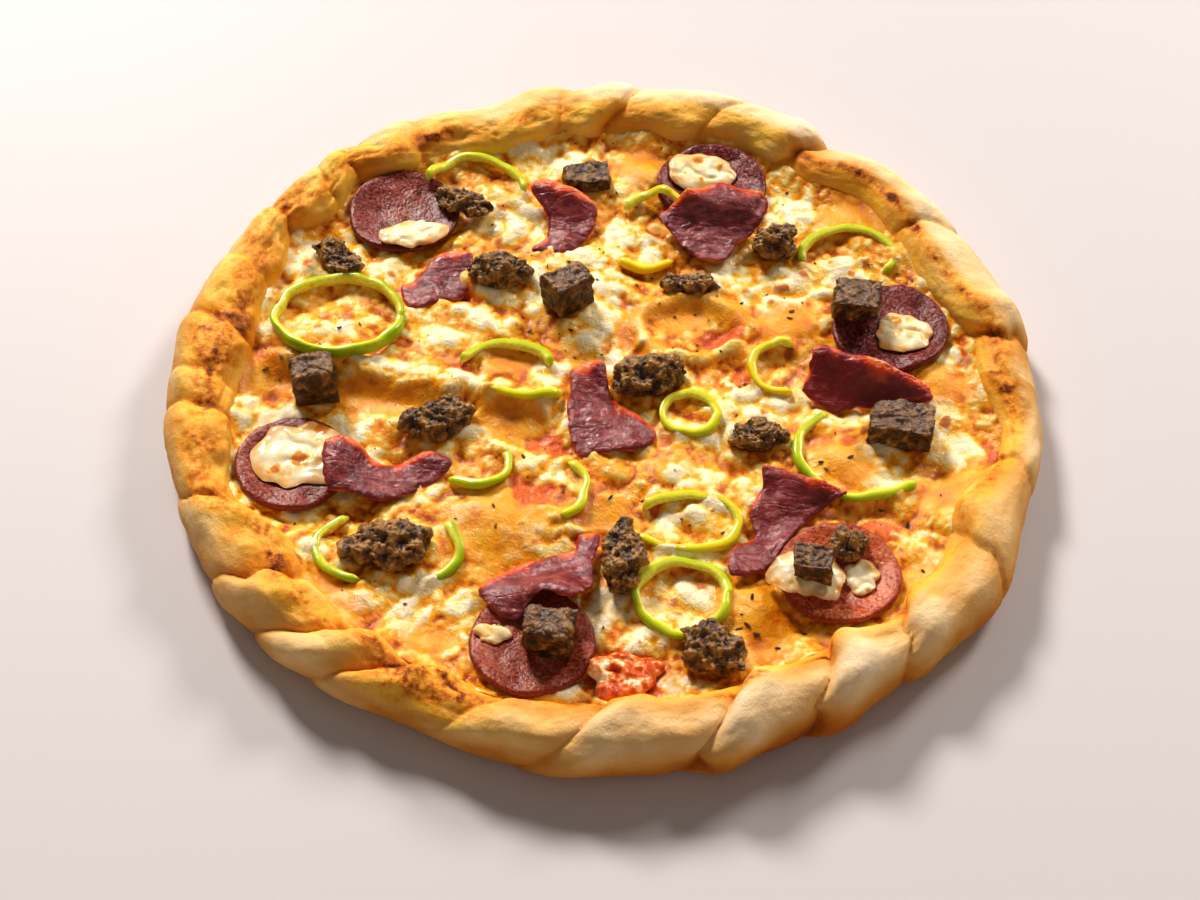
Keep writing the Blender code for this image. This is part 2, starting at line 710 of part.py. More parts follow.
def build():
    remove_all_objects()
    pizza = new_collection("ham and salami pizza")
    dough = make_dough(pizza, material("baked dough", (0.62, 0.36, 0.14), 0.75))
    cheese = make_cheese(pizza, material("melted cheese", (0.80, 0.58, 0.26), 0.40))
    fuse_flakes(cheese, cheese.data.materials[0])
    pile = Pile()
    pile.add(dough, carries=False)
    pile.add(cheese)
    lay_salami(pile, pizza, material("salami", (0.24, 0.05, 0.05), 0.35))
    lay_pools(pile, pizza, material("cheese pool", (0.86, 0.72, 0.48), 0.35))
    lay_sauce(pile, pizza, material("tomato sauce", (0.62, 0.07, 0.02), 0.35))
    lay_peppers(pile, pizza, material("green pepper", (0.42, 0.45, 0.03), 0.30))
    lay_ham(pile, pizza, material("cured ham", (0.20, 0.03, 0.04), 0.35))
    lay_meat(pile, pizza, material("roast meat", (0.06, 0.03, 0.015), 0.60))


build()
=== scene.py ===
"""Dresses the ham and salami pizza: rolled crust, melted cheese, toppings, and a plain studio.

Shapes are worked out in millimetres in the frame of the solids and written in metres. The crust,
the cheese, the ham slices and the pepper rings repeat the forms of the solids they stand for in a
fine mesh. Salami, pools of cheese, sauce and meat are grown from the solids themselves.
"""

import math
import random
from functools import partial

import bmesh
import bpy
import numpy as np
from bpy.props import FloatProperty, FloatVectorProperty, IntProperty, PointerProperty, StringProperty
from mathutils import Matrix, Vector, noise
from mathutils.bvhtree import BVHTree
from mathutils.geometry import delaunay_2d_cdt
from mathutils.kdtree import KDTree


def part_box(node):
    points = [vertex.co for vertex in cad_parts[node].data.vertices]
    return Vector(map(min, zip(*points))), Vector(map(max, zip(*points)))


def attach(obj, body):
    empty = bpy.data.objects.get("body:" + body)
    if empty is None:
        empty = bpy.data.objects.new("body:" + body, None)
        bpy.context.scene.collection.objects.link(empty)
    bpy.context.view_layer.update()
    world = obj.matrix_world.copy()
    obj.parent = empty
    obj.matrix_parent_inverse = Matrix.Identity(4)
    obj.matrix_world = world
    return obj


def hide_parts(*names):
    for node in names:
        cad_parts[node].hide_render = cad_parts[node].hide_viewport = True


bl_info = {
    "name": "Ham and salami pizza",
    "version": (1, 0, 0),
    "blender": (4, 5, 0),
    "location": "View3D > Sidebar > Pizza",
    "description": "Dresses the solids of a ham and salami pizza and lights them",
    "category": "Object",
}

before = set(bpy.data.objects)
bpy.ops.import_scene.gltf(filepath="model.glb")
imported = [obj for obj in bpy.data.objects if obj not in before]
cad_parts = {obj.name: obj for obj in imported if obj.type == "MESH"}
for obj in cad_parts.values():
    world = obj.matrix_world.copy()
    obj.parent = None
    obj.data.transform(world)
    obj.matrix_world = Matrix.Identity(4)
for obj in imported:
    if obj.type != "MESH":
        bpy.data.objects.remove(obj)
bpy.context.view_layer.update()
MM = 0.001
# Rays that look for a solid's underside start below everything
BELOW, UP = -5.0, Vector((0, 0, 1))

# Rolled rim, as in the solids
RIM_OUTER, RIM_INNER, RIM_TOP, BELLY_HEIGHT = 163.5, 138.0, 22.5, 9.0
FLOOR_TOP, CHEESE_EDGE, ROUNDNESS = 6.0, 12.5, 0.86
RIM_LUMPS = (
    (8, 6, 1.5, 5.0, 0.0), (24, 7, -1.0, -3.0, 0.5), (42, 8, 0.0, 4.5, 0.0),
    (52, 5, -4.0, -3.0, -1.5), (67, 7, 0.5, 1.5, 0.5), (75, 6, 2.0, -2.0, 1.0),
    (92, 12, -1.0, -3.5, 0.0), (109, 7, -4.0, -6.0, -1.0), (133, 5, 1.0, 8.0, 1.0),
    (148, 5, 0.0, 7.0, 0.0), (172, 9, 2.5, -3.0, 1.5), (200, 8, 0.0, 4.5, 0.0),
    (214, 6, 0.0, -6.5, 0.5), (246, 13, -5.0, 0.5, -3.5), (260, 8, 0.0, 3.0, 0.0),
    (281, 8, 1.0, 2.0, 1.0), (299, 9, 1.0, 1.0, 1.5), (313, 7, 1.0, 6.5, 0.0),
    (325, 7, 6.5, 6.0, 0.5), (350, 9, 1.5, 12.0, -6.0),
)
CREASES = (
    (8, 3.4), (30, 1.6), (56, 4.0), (70, 1.4), (86, 3.4), (97, 2.0), (120, 2.6), (131, 3.2),
    (138, 2.2), (147, 3.2), (158, 1.6), (170, 3.0), (180, 2.4), (187, 3.4), (203, 3.2),
    (217, 4.2), (229, 4.4), (240, 3.6), (254, 1.4), (267, 2.2), (286, 4.6), (300, 4.4),
    (313, 3.4), (330, 2.2), (345, 1.6),
)
FOLD_DEPTH, FOLD_LIP, FOLD_BACK = 1.2, 1.6, 11.0
# Millimetres for a degree round the rim and across the roll, its crest's radius and its foot's inset
ROUND_STEP, ROLL_STEP, CREST_RADIUS, FOOT_INSET = 2.6, 0.27, 150.0, 13.0
# Height where the inner wall of the crust meets the cheese, and how far the cheese reaches past it
WALL_FOOT, CHEESE_TUCK = 8.5, 1.6

# Browning of the rim: angle, spread, place on the roll, spread there, strength
TOAST = (
    (176, 26, 104, 40, 0.80), (150, 14, 100, 38, 0.85), (200, 14, 96, 34, 0.70), (215, 9, 118, 26, 0.85),
    (30, 24, 112, 12, 1.0), (48, 10, 108, 14, 0.8), (0, 13, 106, 26, 1.0), (85, 20, 100, 18, 0.35),
    (224, 9, 112, 24, 0.8), (234, 7, 120, 20, 0.7), (246, 8, 100, 50, 1.0), (263, 10, 142, 18, 0.6),
    (276, 6, 150, 12, 0.5), (301, 3, 132, 9, 0.9), (289, 4, 118, 9, 0.9), (318, 7, 150, 16, 0.5),
    (342, 13, 128, 28, 0.60), (120, 14, 110, 22, 0.6), (104, 8, 118, 18, 0.5),
)
# Where fat and cheese ran up the inside of the rim: angle, spread, lowest place on the roll
RUNS = (
    (172, 40, 50), (135, 26, 64), (246, 12, 24), (350, 24, 80), (218, 26, 66), (10, 16, 90),
    (95, 40, 86), (50, 34, 92), (285, 30, 116), (320, 20, 112),
)

# Melted cheese, as in the solids
CHEESE_BASE, CHEESE_SWELL, CHEESE_RIPPLE, EDGE_BLEND = 10.4, 1.3, 0.6, 14.0
DOMES = (
    (-40, -58, 16, 4.5), (51, -101, 14, 4.5), (87, -35, 13, 3.5), (71, 31, 11, 2.5),
    (124, 2, 11, 3.5), (102, 80, 14, 3.0), (-90, -99, 14, 3.0), (-16, -58, 11, 2.5),
    (21, -42, 10, 2.0), (17, 112, 9, 4.0), (-4, 121, 10, 2.0), (-118, 78, 10, 2.0),
)
RIDGE_LINE = ((-145, 18), (-102, 9), (-69, 1), (-16, -7))
RIDGE_HEIGHT, RIDGE_SLOPE, RIDGE_BACK = 6.0, 11.0, 32.0
CRATER = (34, 29, 20, 15, 3.2)

# Where the cheese is white: x, y, half length, half width, turn
WHITE_CHEESE = (
    (-118, 68, 13, 12, 0), (-88, 60, 13, 6, -10), (-36, 88, 16, 15, -20), (-20, 122, 19, 10, -12),
    (-41, 46, 9, 6, 0), (-8, 68, 12, 10, 0), (-1, 50, 10, 11, 0), (-25, 50, 6, 12, 10),
    (11, 103, 8, 8, 0), (5, 82, 5, 19, 0), (-2, 31, 10, 10, 0), (5, 10, 7, 9, 0),
    (74, 98, 10, 14, 15), (50, 58, 9, 11, -25), (73, 51, 20, 9, 22), (92, 58, 13, 8, 0),
    (-62, 24, 15, 6, -20), (-46, 33, 10, 5, -20), (-74, 7, 32, 3, -14), (-118, -17, 20, 8, -8),
    (-112, -38, 20, 16, 0), (-96, -21, 9, 9, -30), (-85, -35, 6, 6, 0), (-111, -62, 9, 5, 10),
    (-20, -9, 10, 7, -20), (-20, 5, 6, 8, 0), (-50, -22, 12, 3, -12), (-22, -38, 9, 4, -10),
    (60, -9, 19, 9, -4), (34, -22, 11, 6, 0), (45, -24, 5, 10, 0), (33, -44, 9, 5, 0),
    (38, -57, 9, 7, 0), (23, -62, 5, 5, 0), (56, -47, 6, 8, 0), (92, -16, 11, 4, 12),
    (103, -30, 9, 7, 0), (129, -30, 10, 8, 20), (127, -13, 8, 9, 0), (105, -44, 7, 6, 0),
    (113, -69, 9, 4, -8), (134, 13, 4, 7, 0), (-88, -98, 8, 4, 0), (-68, -104, 8, 11, 0),
    (-62, -91, 9, 5, 20), (-48, -98, 6, 7, 0), (-26, -71, 12, 6, 12), (-102, -77, 5, 6, 0),
    (4, -98, 11, 7, 0), (-3, -106, 6, 10, 0), (15, -112, 9, 5, 0), (28, -95, 11, 11, 0),
    (32, -77, 11, 4, 0), (-13, -128, 7, 9, 0), (46, -120, 5, 6, 0), (24, -130, 7, 5, 0),
    (122, -80, 8, 5, 0), (131, -62, 8, 5, 0), (-130, 34, 4, 12, 0), (-101, 28, 9, 5, 20),
    (68, -58, 6, 4, 0), (-52, -62, 8, 4, 30), (-66, -50, 8, 4, 30), (20, 70, 5, 7, 0),
)
# Smooth golden bubbles of dough under thin cheese
GOLD_CHEESE = (
    (16, 118, 10, 14, 0), (34, 38, 19, 9, 10), (71, 31, 11, 10, 0), (101, 88, 13, 11, 0),
    (-128, 6, 16, 9, -8), (-84, -5, 24, 7, -12), (-38, -64, 17, 18, 0), (-32, -16, 13, 10, 0),
    (-2, -60, 12, 8, -10), (52, -106, 13, 14, 0), (88, -36, 12, 12, 0), (128, 2, 9, 9, 0),
    (-60, -112, 10, 7, 0), (118, -86, 14, 9, 20), (10, 28, 4, 10, 0), (18, 18, 9, 3, 30),
    (-96, -97, 14, 9, -25), (-36, 12, 10, 6, 0), (52, 36, 6, 8, 0), (128, -50, 14, 8, 20),
)
# Where tomato shows through: x, y, half length, half width, turn
RED_CHEESE = (
    (-22, -27, 11, 5, -15), (-20, -51, 9, 5, 0), (-29, -47, 5, 8, 20), (137, 14, 4, 10, 0),
    (-112, -82, 4, 9, 30), (24, -24, 5, 4, 0), (7, -127, 18, 13, 10), (92, -27, 4, 3, 0),
    (7, 45, 4, 4, 0), (45, 25, 8, 5, 0), (-70, 55, 5, 4, 0), (143, -30, 3, 6, 0),
    (-80, 22, 6, 3, 0), (-52, 8, 4, 3, 0), (18, -55, 4, 3, 0), (30, -86, 5, 4, 0),
    (100, -66, 8, 4, -10), (-52, 48, 3, 6, 0), (52, 6, 4, 6, 0), (-3, -70, 7, 3, 0),
)
# Browned blisters: x, y, radius
BLISTERS = (
    (-117, 62, 3.5), (-83, 57, 2.5), (-78, 57, 2.0), (-40, 94, 3.5), (-42, 77, 2.5), (70, 51, 4.2),
    (57, 50, 3.0), (91, 64, 2.6), (105, 63, 2.2), (100, 58, 2.2), (-127, -22, 5.0), (-110, -38, 4.5),
    (-120, -42, 3.2), (-103, -23, 3.5), (-25, -6, 2.6), (-24, -72, 2.6), (128, -17, 3.4), (122, -36, 3.2),
    (25, -96, 3.4), (35, -88, 4.2), (38, -96, 2.4), (27, -102, 2.6), (66, 3, 3.4), (95, -73, 3.0),
    (-15, -52, 4.0), (40, 118, 3.2), (49, 114, 2.4), (34, 110, 2.2), (41, 107, 2.0), (114, 30, 2.6),
    (107, 26, 2.2), (114, 24, 2.0), (-82, 84, 2.4), (-98, 34, 4.0), (-108, 26, 3.0), (-92, 24, 3.4),
    (62, 62, 2.2), (80, 58, 2.4), (-10, 62, 2.6), (7, 75, 2.4), (-28, -129, 2.4), (60, -12, 2.2),
)

# Pepper, as in the solids: x, y, half length, half width, first angle, last angle, height
PEPPERS = (
    (-52, 100, 20, 20, 5, 165, 3.6), (-102, 32, 24, 21, 0, 360, 5.4), (20, 84, 14, 14, 5, 140, 3.4),
    (17, 72, 13, 12, 215, 325, 3.4), (98, 66, 18, 14, -40, 190, 3.0), (-36, 5, 17, 13, 15, 170, 3.4),
    (-29, 3, 18, 11, 225, 320, 3.0), (68, 9, 11, 12, 60, 290, 3.6), (33, -14, 10, 10, 0, 360, 3.4),
    (-46, -38, 12, 10, 215, 400, 3.2), (-19, -49, 13, 14, -75, 60, 3.0), (96, -32, 24, 21, 120, 320, 3.2),
    (31, -64, 18, 12, -160, 150, 3.2), (28, -96, 16, 15, 0, 360, 3.8), (-76, -75, 26, 17, 125, 250, 2.8),
    (-76, -75, 26, 17, -55, 40, 2.8),
)
# How yellow each pepper is
PEPPER_YELLOW = (0.25, 0.1, 0.8, 0.95, 0.2, 0.25, 0.5, 0.9, 0.5, 0.3, 0.5, 0.1, 0.75, 0.25, 0.0, 0.0)

# Outlines of the ham slices, as in the solids: x and y
HAM = (
    ((-29, 100), (-24, 104), (-15, 100), (-6, 96), (-2, 91), (-3, 83), (-9, 74), (-17, 70), (-28, 71),
     (-22, 79), (-23, 90)),
    ((-64, 67), (-53, 68), (-51, 61), (-54, 45), (-64, 42), (-75, 39), (-79, 49), (-74, 53), (-69, 61)),
    ((28, 88), (40, 94), (48, 97), (57, 94), (65, 93), (67, 88), (62, 78), (54, 70), (48, 62), (40, 62),
     (33, 68), (27, 77), (23, 84)),
    ((81, 11), (91, 8), (104, 4), (115, 0), (123, -4), (123, -9), (113, -10), (97, -10), (86, -12),
     (76, -4), (78, 3)),
    ((-11, 5), (0, 9), (2, 2), (4, -7), (12, -12), (20, -23), (14, -31), (1, -32), (-9, -33), (-13, -15),
     (-12, -3)),
    ((-102, -36), (-99, -31), (-89, -32), (-83, -37), (-74, -37), (-66, -33), (-59, -34), (-55, -39),
     (-64, -47), (-79, -55), (-86, -55), (-92, -53), (-99, -51)),
    ((-43, -93), (-32, -85), (-18, -79), (-10, -77), (-8, -71), (-1, -71), (-3, -83), (-4, -97),
     (-11, -103), (-20, -101), (-25, -103), (-28, -107), (-35, -106), (-41, -99)),
    ((59, -42), (71, -46), (88, -53), (81, -57), (71, -66), (63, -78), (56, -87), (47, -90), (44, -86),
     (46, -78), (54, -71), (53, -59), (58, -50)),
)
# Points on its outline for each of those, and how deep red each slice is, which also widens its painted
# backlight glow
OUTLINE_STEPS = 11
HAM_DEEP = (0.3, 0.15, 0.1, 0.9, 0.3, 0.0, 0.1, 0.4)

# How red each slice of salami is
SALAMI_RED = (0.15, 0.05, 0.05, 0.9, 0.45, 0.25)

# Chunks that were cut square; the rest are crumbled lumps
CUT_MEAT = (1, 5, 8, 9, 13, 16, 18)

# How far out small flakes lie, and the larger ones that stand out: x and y
FLAKE_REACH = 134.0
HERBS = (
    (-128, 8), (-122, 11), (-101, 26), (74, 38), (73, 34), (80, -38), (82, -41), (101, -57), (110, -63),
    (113, -85), (123, -84), (129, -79), (141, -66), (-39, -58), (-38, -67), (43, -69), (-28, 28),
    (-12, 28), (-21, 6), (-14, -50), (3, -52), (15, -53), (8, -134), (43, -104), (52, -98), (50, -109),
    (53, -112), (60, -117), (47, -110), (55, 2), (-133, 20), (-136, -6), (-29, -34), (91, -36),
)

# Floor and its gap under the pizza, in metres, and the camera's sensor in millimetres
FLOOR_SIZE, FLOOR_GAP, SENSOR_WIDTH = 8.0, 0.0002, 36.0
# Lamps: name, place and size in metres, the setting that holds its power, and colour
LAMPS = (
    ("window", (-1.2, 2.8, 2.2), 0.9, "key_power", "#FFF8F0"),
    ("side window", (1.9, 2.3, 1.9), 0.9, "side_power", "#FFF8F0"),
    ("fill", (0.8, -2.2, 1.4), 2.0, "fill_power", "#FFE6CC"),
)


# Numbers


def step(value):
    """0 below 0, 1 above 1 and smooth between, for numbers or arrays."""
    value = np.clip(value, 0.0, 1.0)
    return value * value * (3.0 - 2.0 * value)


def bell(value, width):
    """1 at 0 and falling smoothly to both sides, for numbers or arrays."""
    return np.exp(-(value / width) ** 2)


def turn_from(angle, place):
    return (angle - place + 180.0) % 360.0 - 180.0


def near_angle(angle, place, spread):
    """1 at a place round the rim, fading to both sides."""
    return bell(turn_from(angle, place), spread)


def swell(x, y, size, seed):
    """The solids' smooth unevenness, for arrays."""
    flat = zip(np.ravel(x / size), np.ravel(y / size))
    values = [noise.noise(Vector((a, b, seed * 7.31))) for a, b in flat]
    return np.array(values).reshape(np.shape(x))


def lattice(ix, iy, seed):
    """A repeatable random number from 0 to 1 for every corner of a square lattice."""
    mixed = (ix.astype(np.int64) * 374761393 + iy.astype(np.int64) * 668265263 + seed * 974711) & 0xFFFFFFFF
    mixed = ((mixed ^ (mixed >> 13)) * 1274126177) & 0xFFFFFFFF
    return ((mixed ^ (mixed >> 16)) & 0xFFFFFF) / 0xFFFFFF


def grain(x, y, size, seed, octaves=1):
    """Value noise from about -1 to 1 whose lumps are about the given size."""
    total = np.zeros(np.shape(x))
    weight = 1.0
    for octave in range(octaves):
        turn = 0.6 + octave
        c, s = math.cos(turn), math.sin(turn)
        u, v = (x * c - y * s) / size, (x * s + y * c) / size
        ix, iy = np.floor(u), np.floor(v)
        fx, fy = step(u - ix), step(v - iy)
        low = lattice(ix, iy, seed + octave) * (1 - fx) + lattice(ix + 1, iy, seed + octave) * fx
        high = lattice(ix, iy + 1, seed + octave) * (1 - fx) + lattice(ix + 1, iy + 1, seed + octave) * fx
        total += weight * (2.0 * (low * (1 - fy) + high * fy) - 1.0)
        weight *= 0.55
        size *= 0.5
    return total


def cells(x, y, size, seed):
    """Distance to the nearest scattered point, in millimetres, and that point's random number."""
    u, v = x / size, y / size
    ix, iy = np.floor(u), np.floor(v)
    nearest = np.full(np.shape(x), 9.0)
    pick = np.zeros(np.shape(x))
    for dx in (-1, 0, 1):
        for dy in (-1, 0, 1):
            cx, cy = ix + dx, iy + dy
            px = cx + 0.15 + 0.7 * lattice(cx, cy, seed)
            py = cy + 0.15 + 0.7 * lattice(cx, cy, seed + 57)
            away = np.hypot(u - px, v - py)
            closer = away < nearest
            nearest = np.where(closer, away, nearest)
            pick = np.where(closer, lattice(cx, cy, seed + 113), pick)
    return nearest * size, pick


def blobs(x, y, places, ragged, seed, soft):
    """1 inside any of the named ovals and 0 outside, with ragged soft edges."""
    rough = ragged * (0.6 * grain(x, y, 9.0, seed, 2) + 0.4 * grain(x, y, 3.2, seed + 9))
    most = np.zeros(np.shape(x))
    for cx, cy, length, width, turn in places:
        c, s = math.cos(math.radians(turn)), math.sin(math.radians(turn))
        dx, dy = x - cx, y - cy
        away = np.hypot((dx * c + dy * s) / length, (dy * c - dx * s) / width)
        most = np.maximum(most, step((1.0 + soft / 2 - away - rough) / soft))
    return most


def blistered(x, y):
    """Browned blisters: the named ones, and smaller ones scattered between them."""
    warp = 1.5 * grain(x, y, 3.2, 83) + 0.8 * grain(x, y, 1.5, 84) - 0.5
    most = np.zeros(np.shape(x))
    for cx, cy, radius in BLISTERS:
        most = np.maximum(most, step((radius + 0.9 + warp - np.hypot(x - cx, y - cy)) / 3.0))
    away, pick = cells(x, y, 9.0, 81)
    size = 0.6 + 1.2 * np.maximum(pick - 0.7, 0) / 0.3
    few = np.where(pick > 0.7, step((size + 0.5 + warp - away) / 1.4), 0.0) * 0.7
    return np.maximum(most, few)


# Mesh and material helpers

# Settings that most nodes of a kind share
USUAL = {"Mix": {"data_type": "RGBA"}, "Math": {"operation": "MULTIPLY_ADD"},
         "VectorMath": {"operation": "MULTIPLY_ADD"}}


def linear(code):
    """A colour written as sRGB hex, as linear RGBA."""
    parts = [int(code[i:i + 2], 16) / 255.0 for i in (1, 3, 5)]
    return [p / 12.92 if p <= 0.04045 else ((p + 0.055) / 1.055) ** 2.4 for p in parts] + [1.0]


def add_node(graph, kind, settings, output=0):
    """Add a shader node. A setting is an attribute, a socket's value, a hex colour or a link."""
    made = graph.nodes.new("ShaderNode" + kind)
    for key, value in {**USUAL.get(kind, {}), **settings}.items():
        if key == "stops":
            stops = made.color_ramp.elements
            for i, (place, code) in enumerate(value):
                stop = stops[i] if i < 2 else stops.new(place)
                stop.position = place
                stop.color = linear(code)
        elif isinstance(value, bpy.types.NodeSocket):
            graph.links.new(value, made.inputs[key])
        elif isinstance(key, str) and hasattr(made, key):
            setattr(made, key, value)
        else:
            made.inputs[key].default_value = linear(value) if isinstance(value, str) else value
    return made.outputs[output] if made.outputs else None


def new_material(name):
    """An empty material, what adds nodes to it, and the object's own coordinates in metres."""
    mat = bpy.data.materials.new(name)
    mat.use_nodes = True
    mat.node_tree.nodes.clear()
    add = partial(add_node, mat.node_tree)
    return mat, add, add("TexCoord", {}, "Object")


def close_material(mat, add, bumps, settings):
    """Lay bumps over one another, each a height, its depth in millimetres and a strength, and end."""
    normal = {}
    for height, depth, strength in bumps:
        made = add("Bump", {"Height": height, "Distance": depth * MM, "Strength": strength, **normal})
        normal = {"Normal": made}
    if normal:
        settings = {**settings, **normal, "Coat Normal": made}
    add("OutputMaterial", {"Surface": add("BsdfPrincipled", settings)})
    return mat


def add_piece(name, points, faces, mat, nodes, masks=None):
    """A fine mesh from points in millimetres that rides the pizza and stands for its solids."""
    mesh = bpy.data.meshes.new(name)
    whole = [tuple(int(i) for i in face) for face in faces]
    mesh.from_pydata((np.asarray(points, float) * MM).tolist(), [], whole)
    mesh.update()
    for key, values in (masks or {}).items():
        layer = mesh.attributes.new(key, "FLOAT", "POINT")
        layer.data.foreach_set("value", np.asarray(values, np.float32))
    mesh.polygons.foreach_set("use_smooth", [True] * len(mesh.polygons))
    mesh.materials.append(mat)
    obj = bpy.data.objects.new(name, mesh)
    bpy.context.scene.collection.objects.link(obj)
    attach(obj, "root")
    if nodes:
        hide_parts(*nodes)
    return obj


def turn_out(piece):
    """Turn all faces outwards."""
    bm = bmesh.new()
    bm.from_mesh(piece.data)
    bmesh.ops.recalc_face_normals(bm, faces=bm.faces)
    bm.to_mesh(piece.data)
    bm.free()


def ring_faces(rows, columns, closed_rows=False):
    """Quads of a grid whose columns close on themselves."""
    faces = []
    for r in range(rows if closed_rows else rows - 1):
        here, there = r * columns, ((r + 1) % rows) * columns
        for c in range(columns):
            after = (c + 1) % columns
            faces.append((here + c, here + after, there + after, there + c))
    return faces


def closed_faces(rows, columns, turned=False):
    """Quads of such a grid, and fans that close its ends round the two points that follow it."""
    faces = ring_faces(rows, columns)
    middle, last = rows * columns, (rows - 1) * columns
    for c in range(columns):
        after = (c + 1) % columns
        faces += [(middle, after, c), (middle + 1, last + c, last + after)]
    return [(face[0], *face[:0:-1]) for face in faces] if turned else faces


def solid_tree(name):
    """A search tree over one solid of the frame, in millimetres."""
    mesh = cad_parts[name].data
    points = [v.co / MM for v in mesh.vertices]
    return BVHTree.FromPolygons(points, [tuple(p.vertices) for p in mesh.polygons])


def under_side(tree, x, y, reach=2.6):
    """Height of a solid's underside at a point, smoothed over its facets."""
    heights = []
    for i in range(7):
        px = x + (reach * math.cos(i * math.pi / 3) if i else 0.0)
        py = y + (reach * math.sin(i * math.pi / 3) if i else 0.0)
        hit = tree.ray_cast(Vector((px, py, BELOW)), UP)[0]
        if hit is not None:
            heights.append(hit.z)
    if heights:
        return sum(heights) / len(heights)
    return tree.find_nearest(Vector((x, y, 12.0)))[0].z


# Crust


def lump_sum(angle, column):
    return sum(lump[column] * near_angle(angle, lump[0], lump[1]) for lump in RIM_LUMPS)


def rim_inner(angle):
    return RIM_INNER + lump_sum(angle, 3)


def rim_twist(angle):
    """How far the folds lean, in degrees: most at the front, and some at the back."""
    return 4.5 + 9.5 * near_angle(angle, 250.0, 55.0) + 4.0 * near_angle(angle, 75.0, 25.0)


def fold_relief(angle):
    """Folds of the roll: each ends in a sharp crease, and the next one swells up from it."""
    relief = np.zeros(np.shape(angle))
    for place, depth in CREASES:
        arc = np.radians(turn_from(angle, place)) * CREST_RADIUS
        line = np.exp(-np.abs(arc) / FOLD_LIP)
        slope = np.where(arc > 0, line, np.exp(np.minimum(arc, 0) / FOLD_BACK))
        relief += depth * (0.6 * bell(arc - 10.0, 8.0) - 0.5 * line - 0.55 * slope)
    return FOLD_DEPTH * relief


def rim_surface(angle, section):
    """Points of the roll with fine wrinkles and blisters, and the fold depth there."""
    place = angle + rim_twist(angle) * (section / 180.0 - 0.5)
    outer = RIM_OUTER + lump_sum(place, 2)
    inner = rim_inner(place)
    side, up = np.cos(np.radians(section)), np.sin(np.radians(section))
    reach = np.sign(side) * np.abs(side) ** ROUNDNESS
    rise = np.sign(up) * np.abs(up) ** ROUNDNESS
    above = RIM_TOP + lump_sum(place, 4) - BELLY_HEIGHT
    fade = step((section + 68.0) / 40.0) * step((172.0 - section) / 30.0)
    bend = angle + 1.4 * grain(angle * ROUND_STEP, section * 0.3, 18.0, 17, 2)
    front, left = near_angle(place, 285.0, 45.0), near_angle(place, 160.0, 55.0)
    folds = fold_relief(bend) * np.maximum(0.4 + 0.6 * step((section - 10.0) / 60.0), 0.9 * front)
    folds *= 1.0 - 0.4 * left
    relief = fade * (folds + 1.2 * swell(place / 3.0, section / 14.0, 3.0, 1))
    along, across = place * ROUND_STEP, section * ROLL_STEP
    lively = step((section - 50.0) / 50.0) * (0.25 + 0.75 * near_angle(place, 165.0, 70.0))
    crack = bell(grain(along * 0.7 + across, across * 1.8, 7.0, 19, 2), 0.08)
    relief += fade * (0.3 + 1.2 * lively) * grain(along, across * 1.4, 11.0, 11, 2)
    relief += fade * (0.12 * grain(along, across, 2.2, 12, 2) - 0.8 * lively * crack)
    away, pick = cells(along, across, 10.0, 14)
    relief += fade * lively * np.where(pick > 0.5, bell(away, 2.6), 0.0) * 1.1
    radius = (outer + inner) / 2 + (outer - inner) / 2 * reach + relief * side
    height = BELLY_HEIGHT + np.where(rise > 0, above, BELLY_HEIGHT) * rise + relief * np.maximum(up, 0.0)
    turn = np.radians(place)
    points = np.stack([radius * np.cos(turn), radius * np.sin(turn), np.maximum(height, 0.0)], -1)
    return points, folds, place


def crust_masks(section, folds, place):
    """How baked and how oily each point of the roll is; the baking mask also carries painted shade in the
    fold creases and on the low front face.
    """
    along, across = place * ROUND_STEP, section * ROLL_STEP
    back, front = near_angle(place, 62.0, 62.0), near_angle(place, 285.0, 55.0)
    floury = step((section - 10.0) / 45.0) * step((112.0 - section) / 26.0)
    floury *= np.maximum(0.20 + 0.80 * back, 0.75 * front)
    # Paler where floury; darker on the low outer face at the front, which is painted shade.
    bake = 0.43 - 0.30 * floury + 0.32 * front * step((38.0 - section) / 50.0)
    bake = bake + 0.12 * grain(along, across, 20.0, 21, 3)
    # Darker in the fold creases: painted shade. A little paler on the fold crests.
    bake = bake + (0.28 - 0.16 * front) * np.clip(-folds / 2.5, 0.0, 1.0)
    bake = bake - 0.08 * np.clip(folds / 2.5, 0.0, 1.0)
    toast = np.zeros(np.shape(section))
    for around, spread, where, wide, strength in TOAST:
        spot = near_angle(place, around, spread) * bell(section - where, wide)
        toast = np.maximum(toast, strength * spot)
    toast *= 0.85 + 0.25 * np.clip(folds / 3.0, -1.0, 1.0) + 0.5 * grain(along, across, 8.0, 31, 3)
    oil = step((section - 120.0) / 24.0)
    for around, spread, lowest in RUNS:
        oil = np.maximum(oil, near_angle(place, around, spread) * step((section - lowest) / 22.0))
    oil *= 0.85 + 0.3 * grain(along, across, 7.0, 41, 2)
    return bake, np.clip(toast, 0, 1), np.clip(oil, 0, 1)


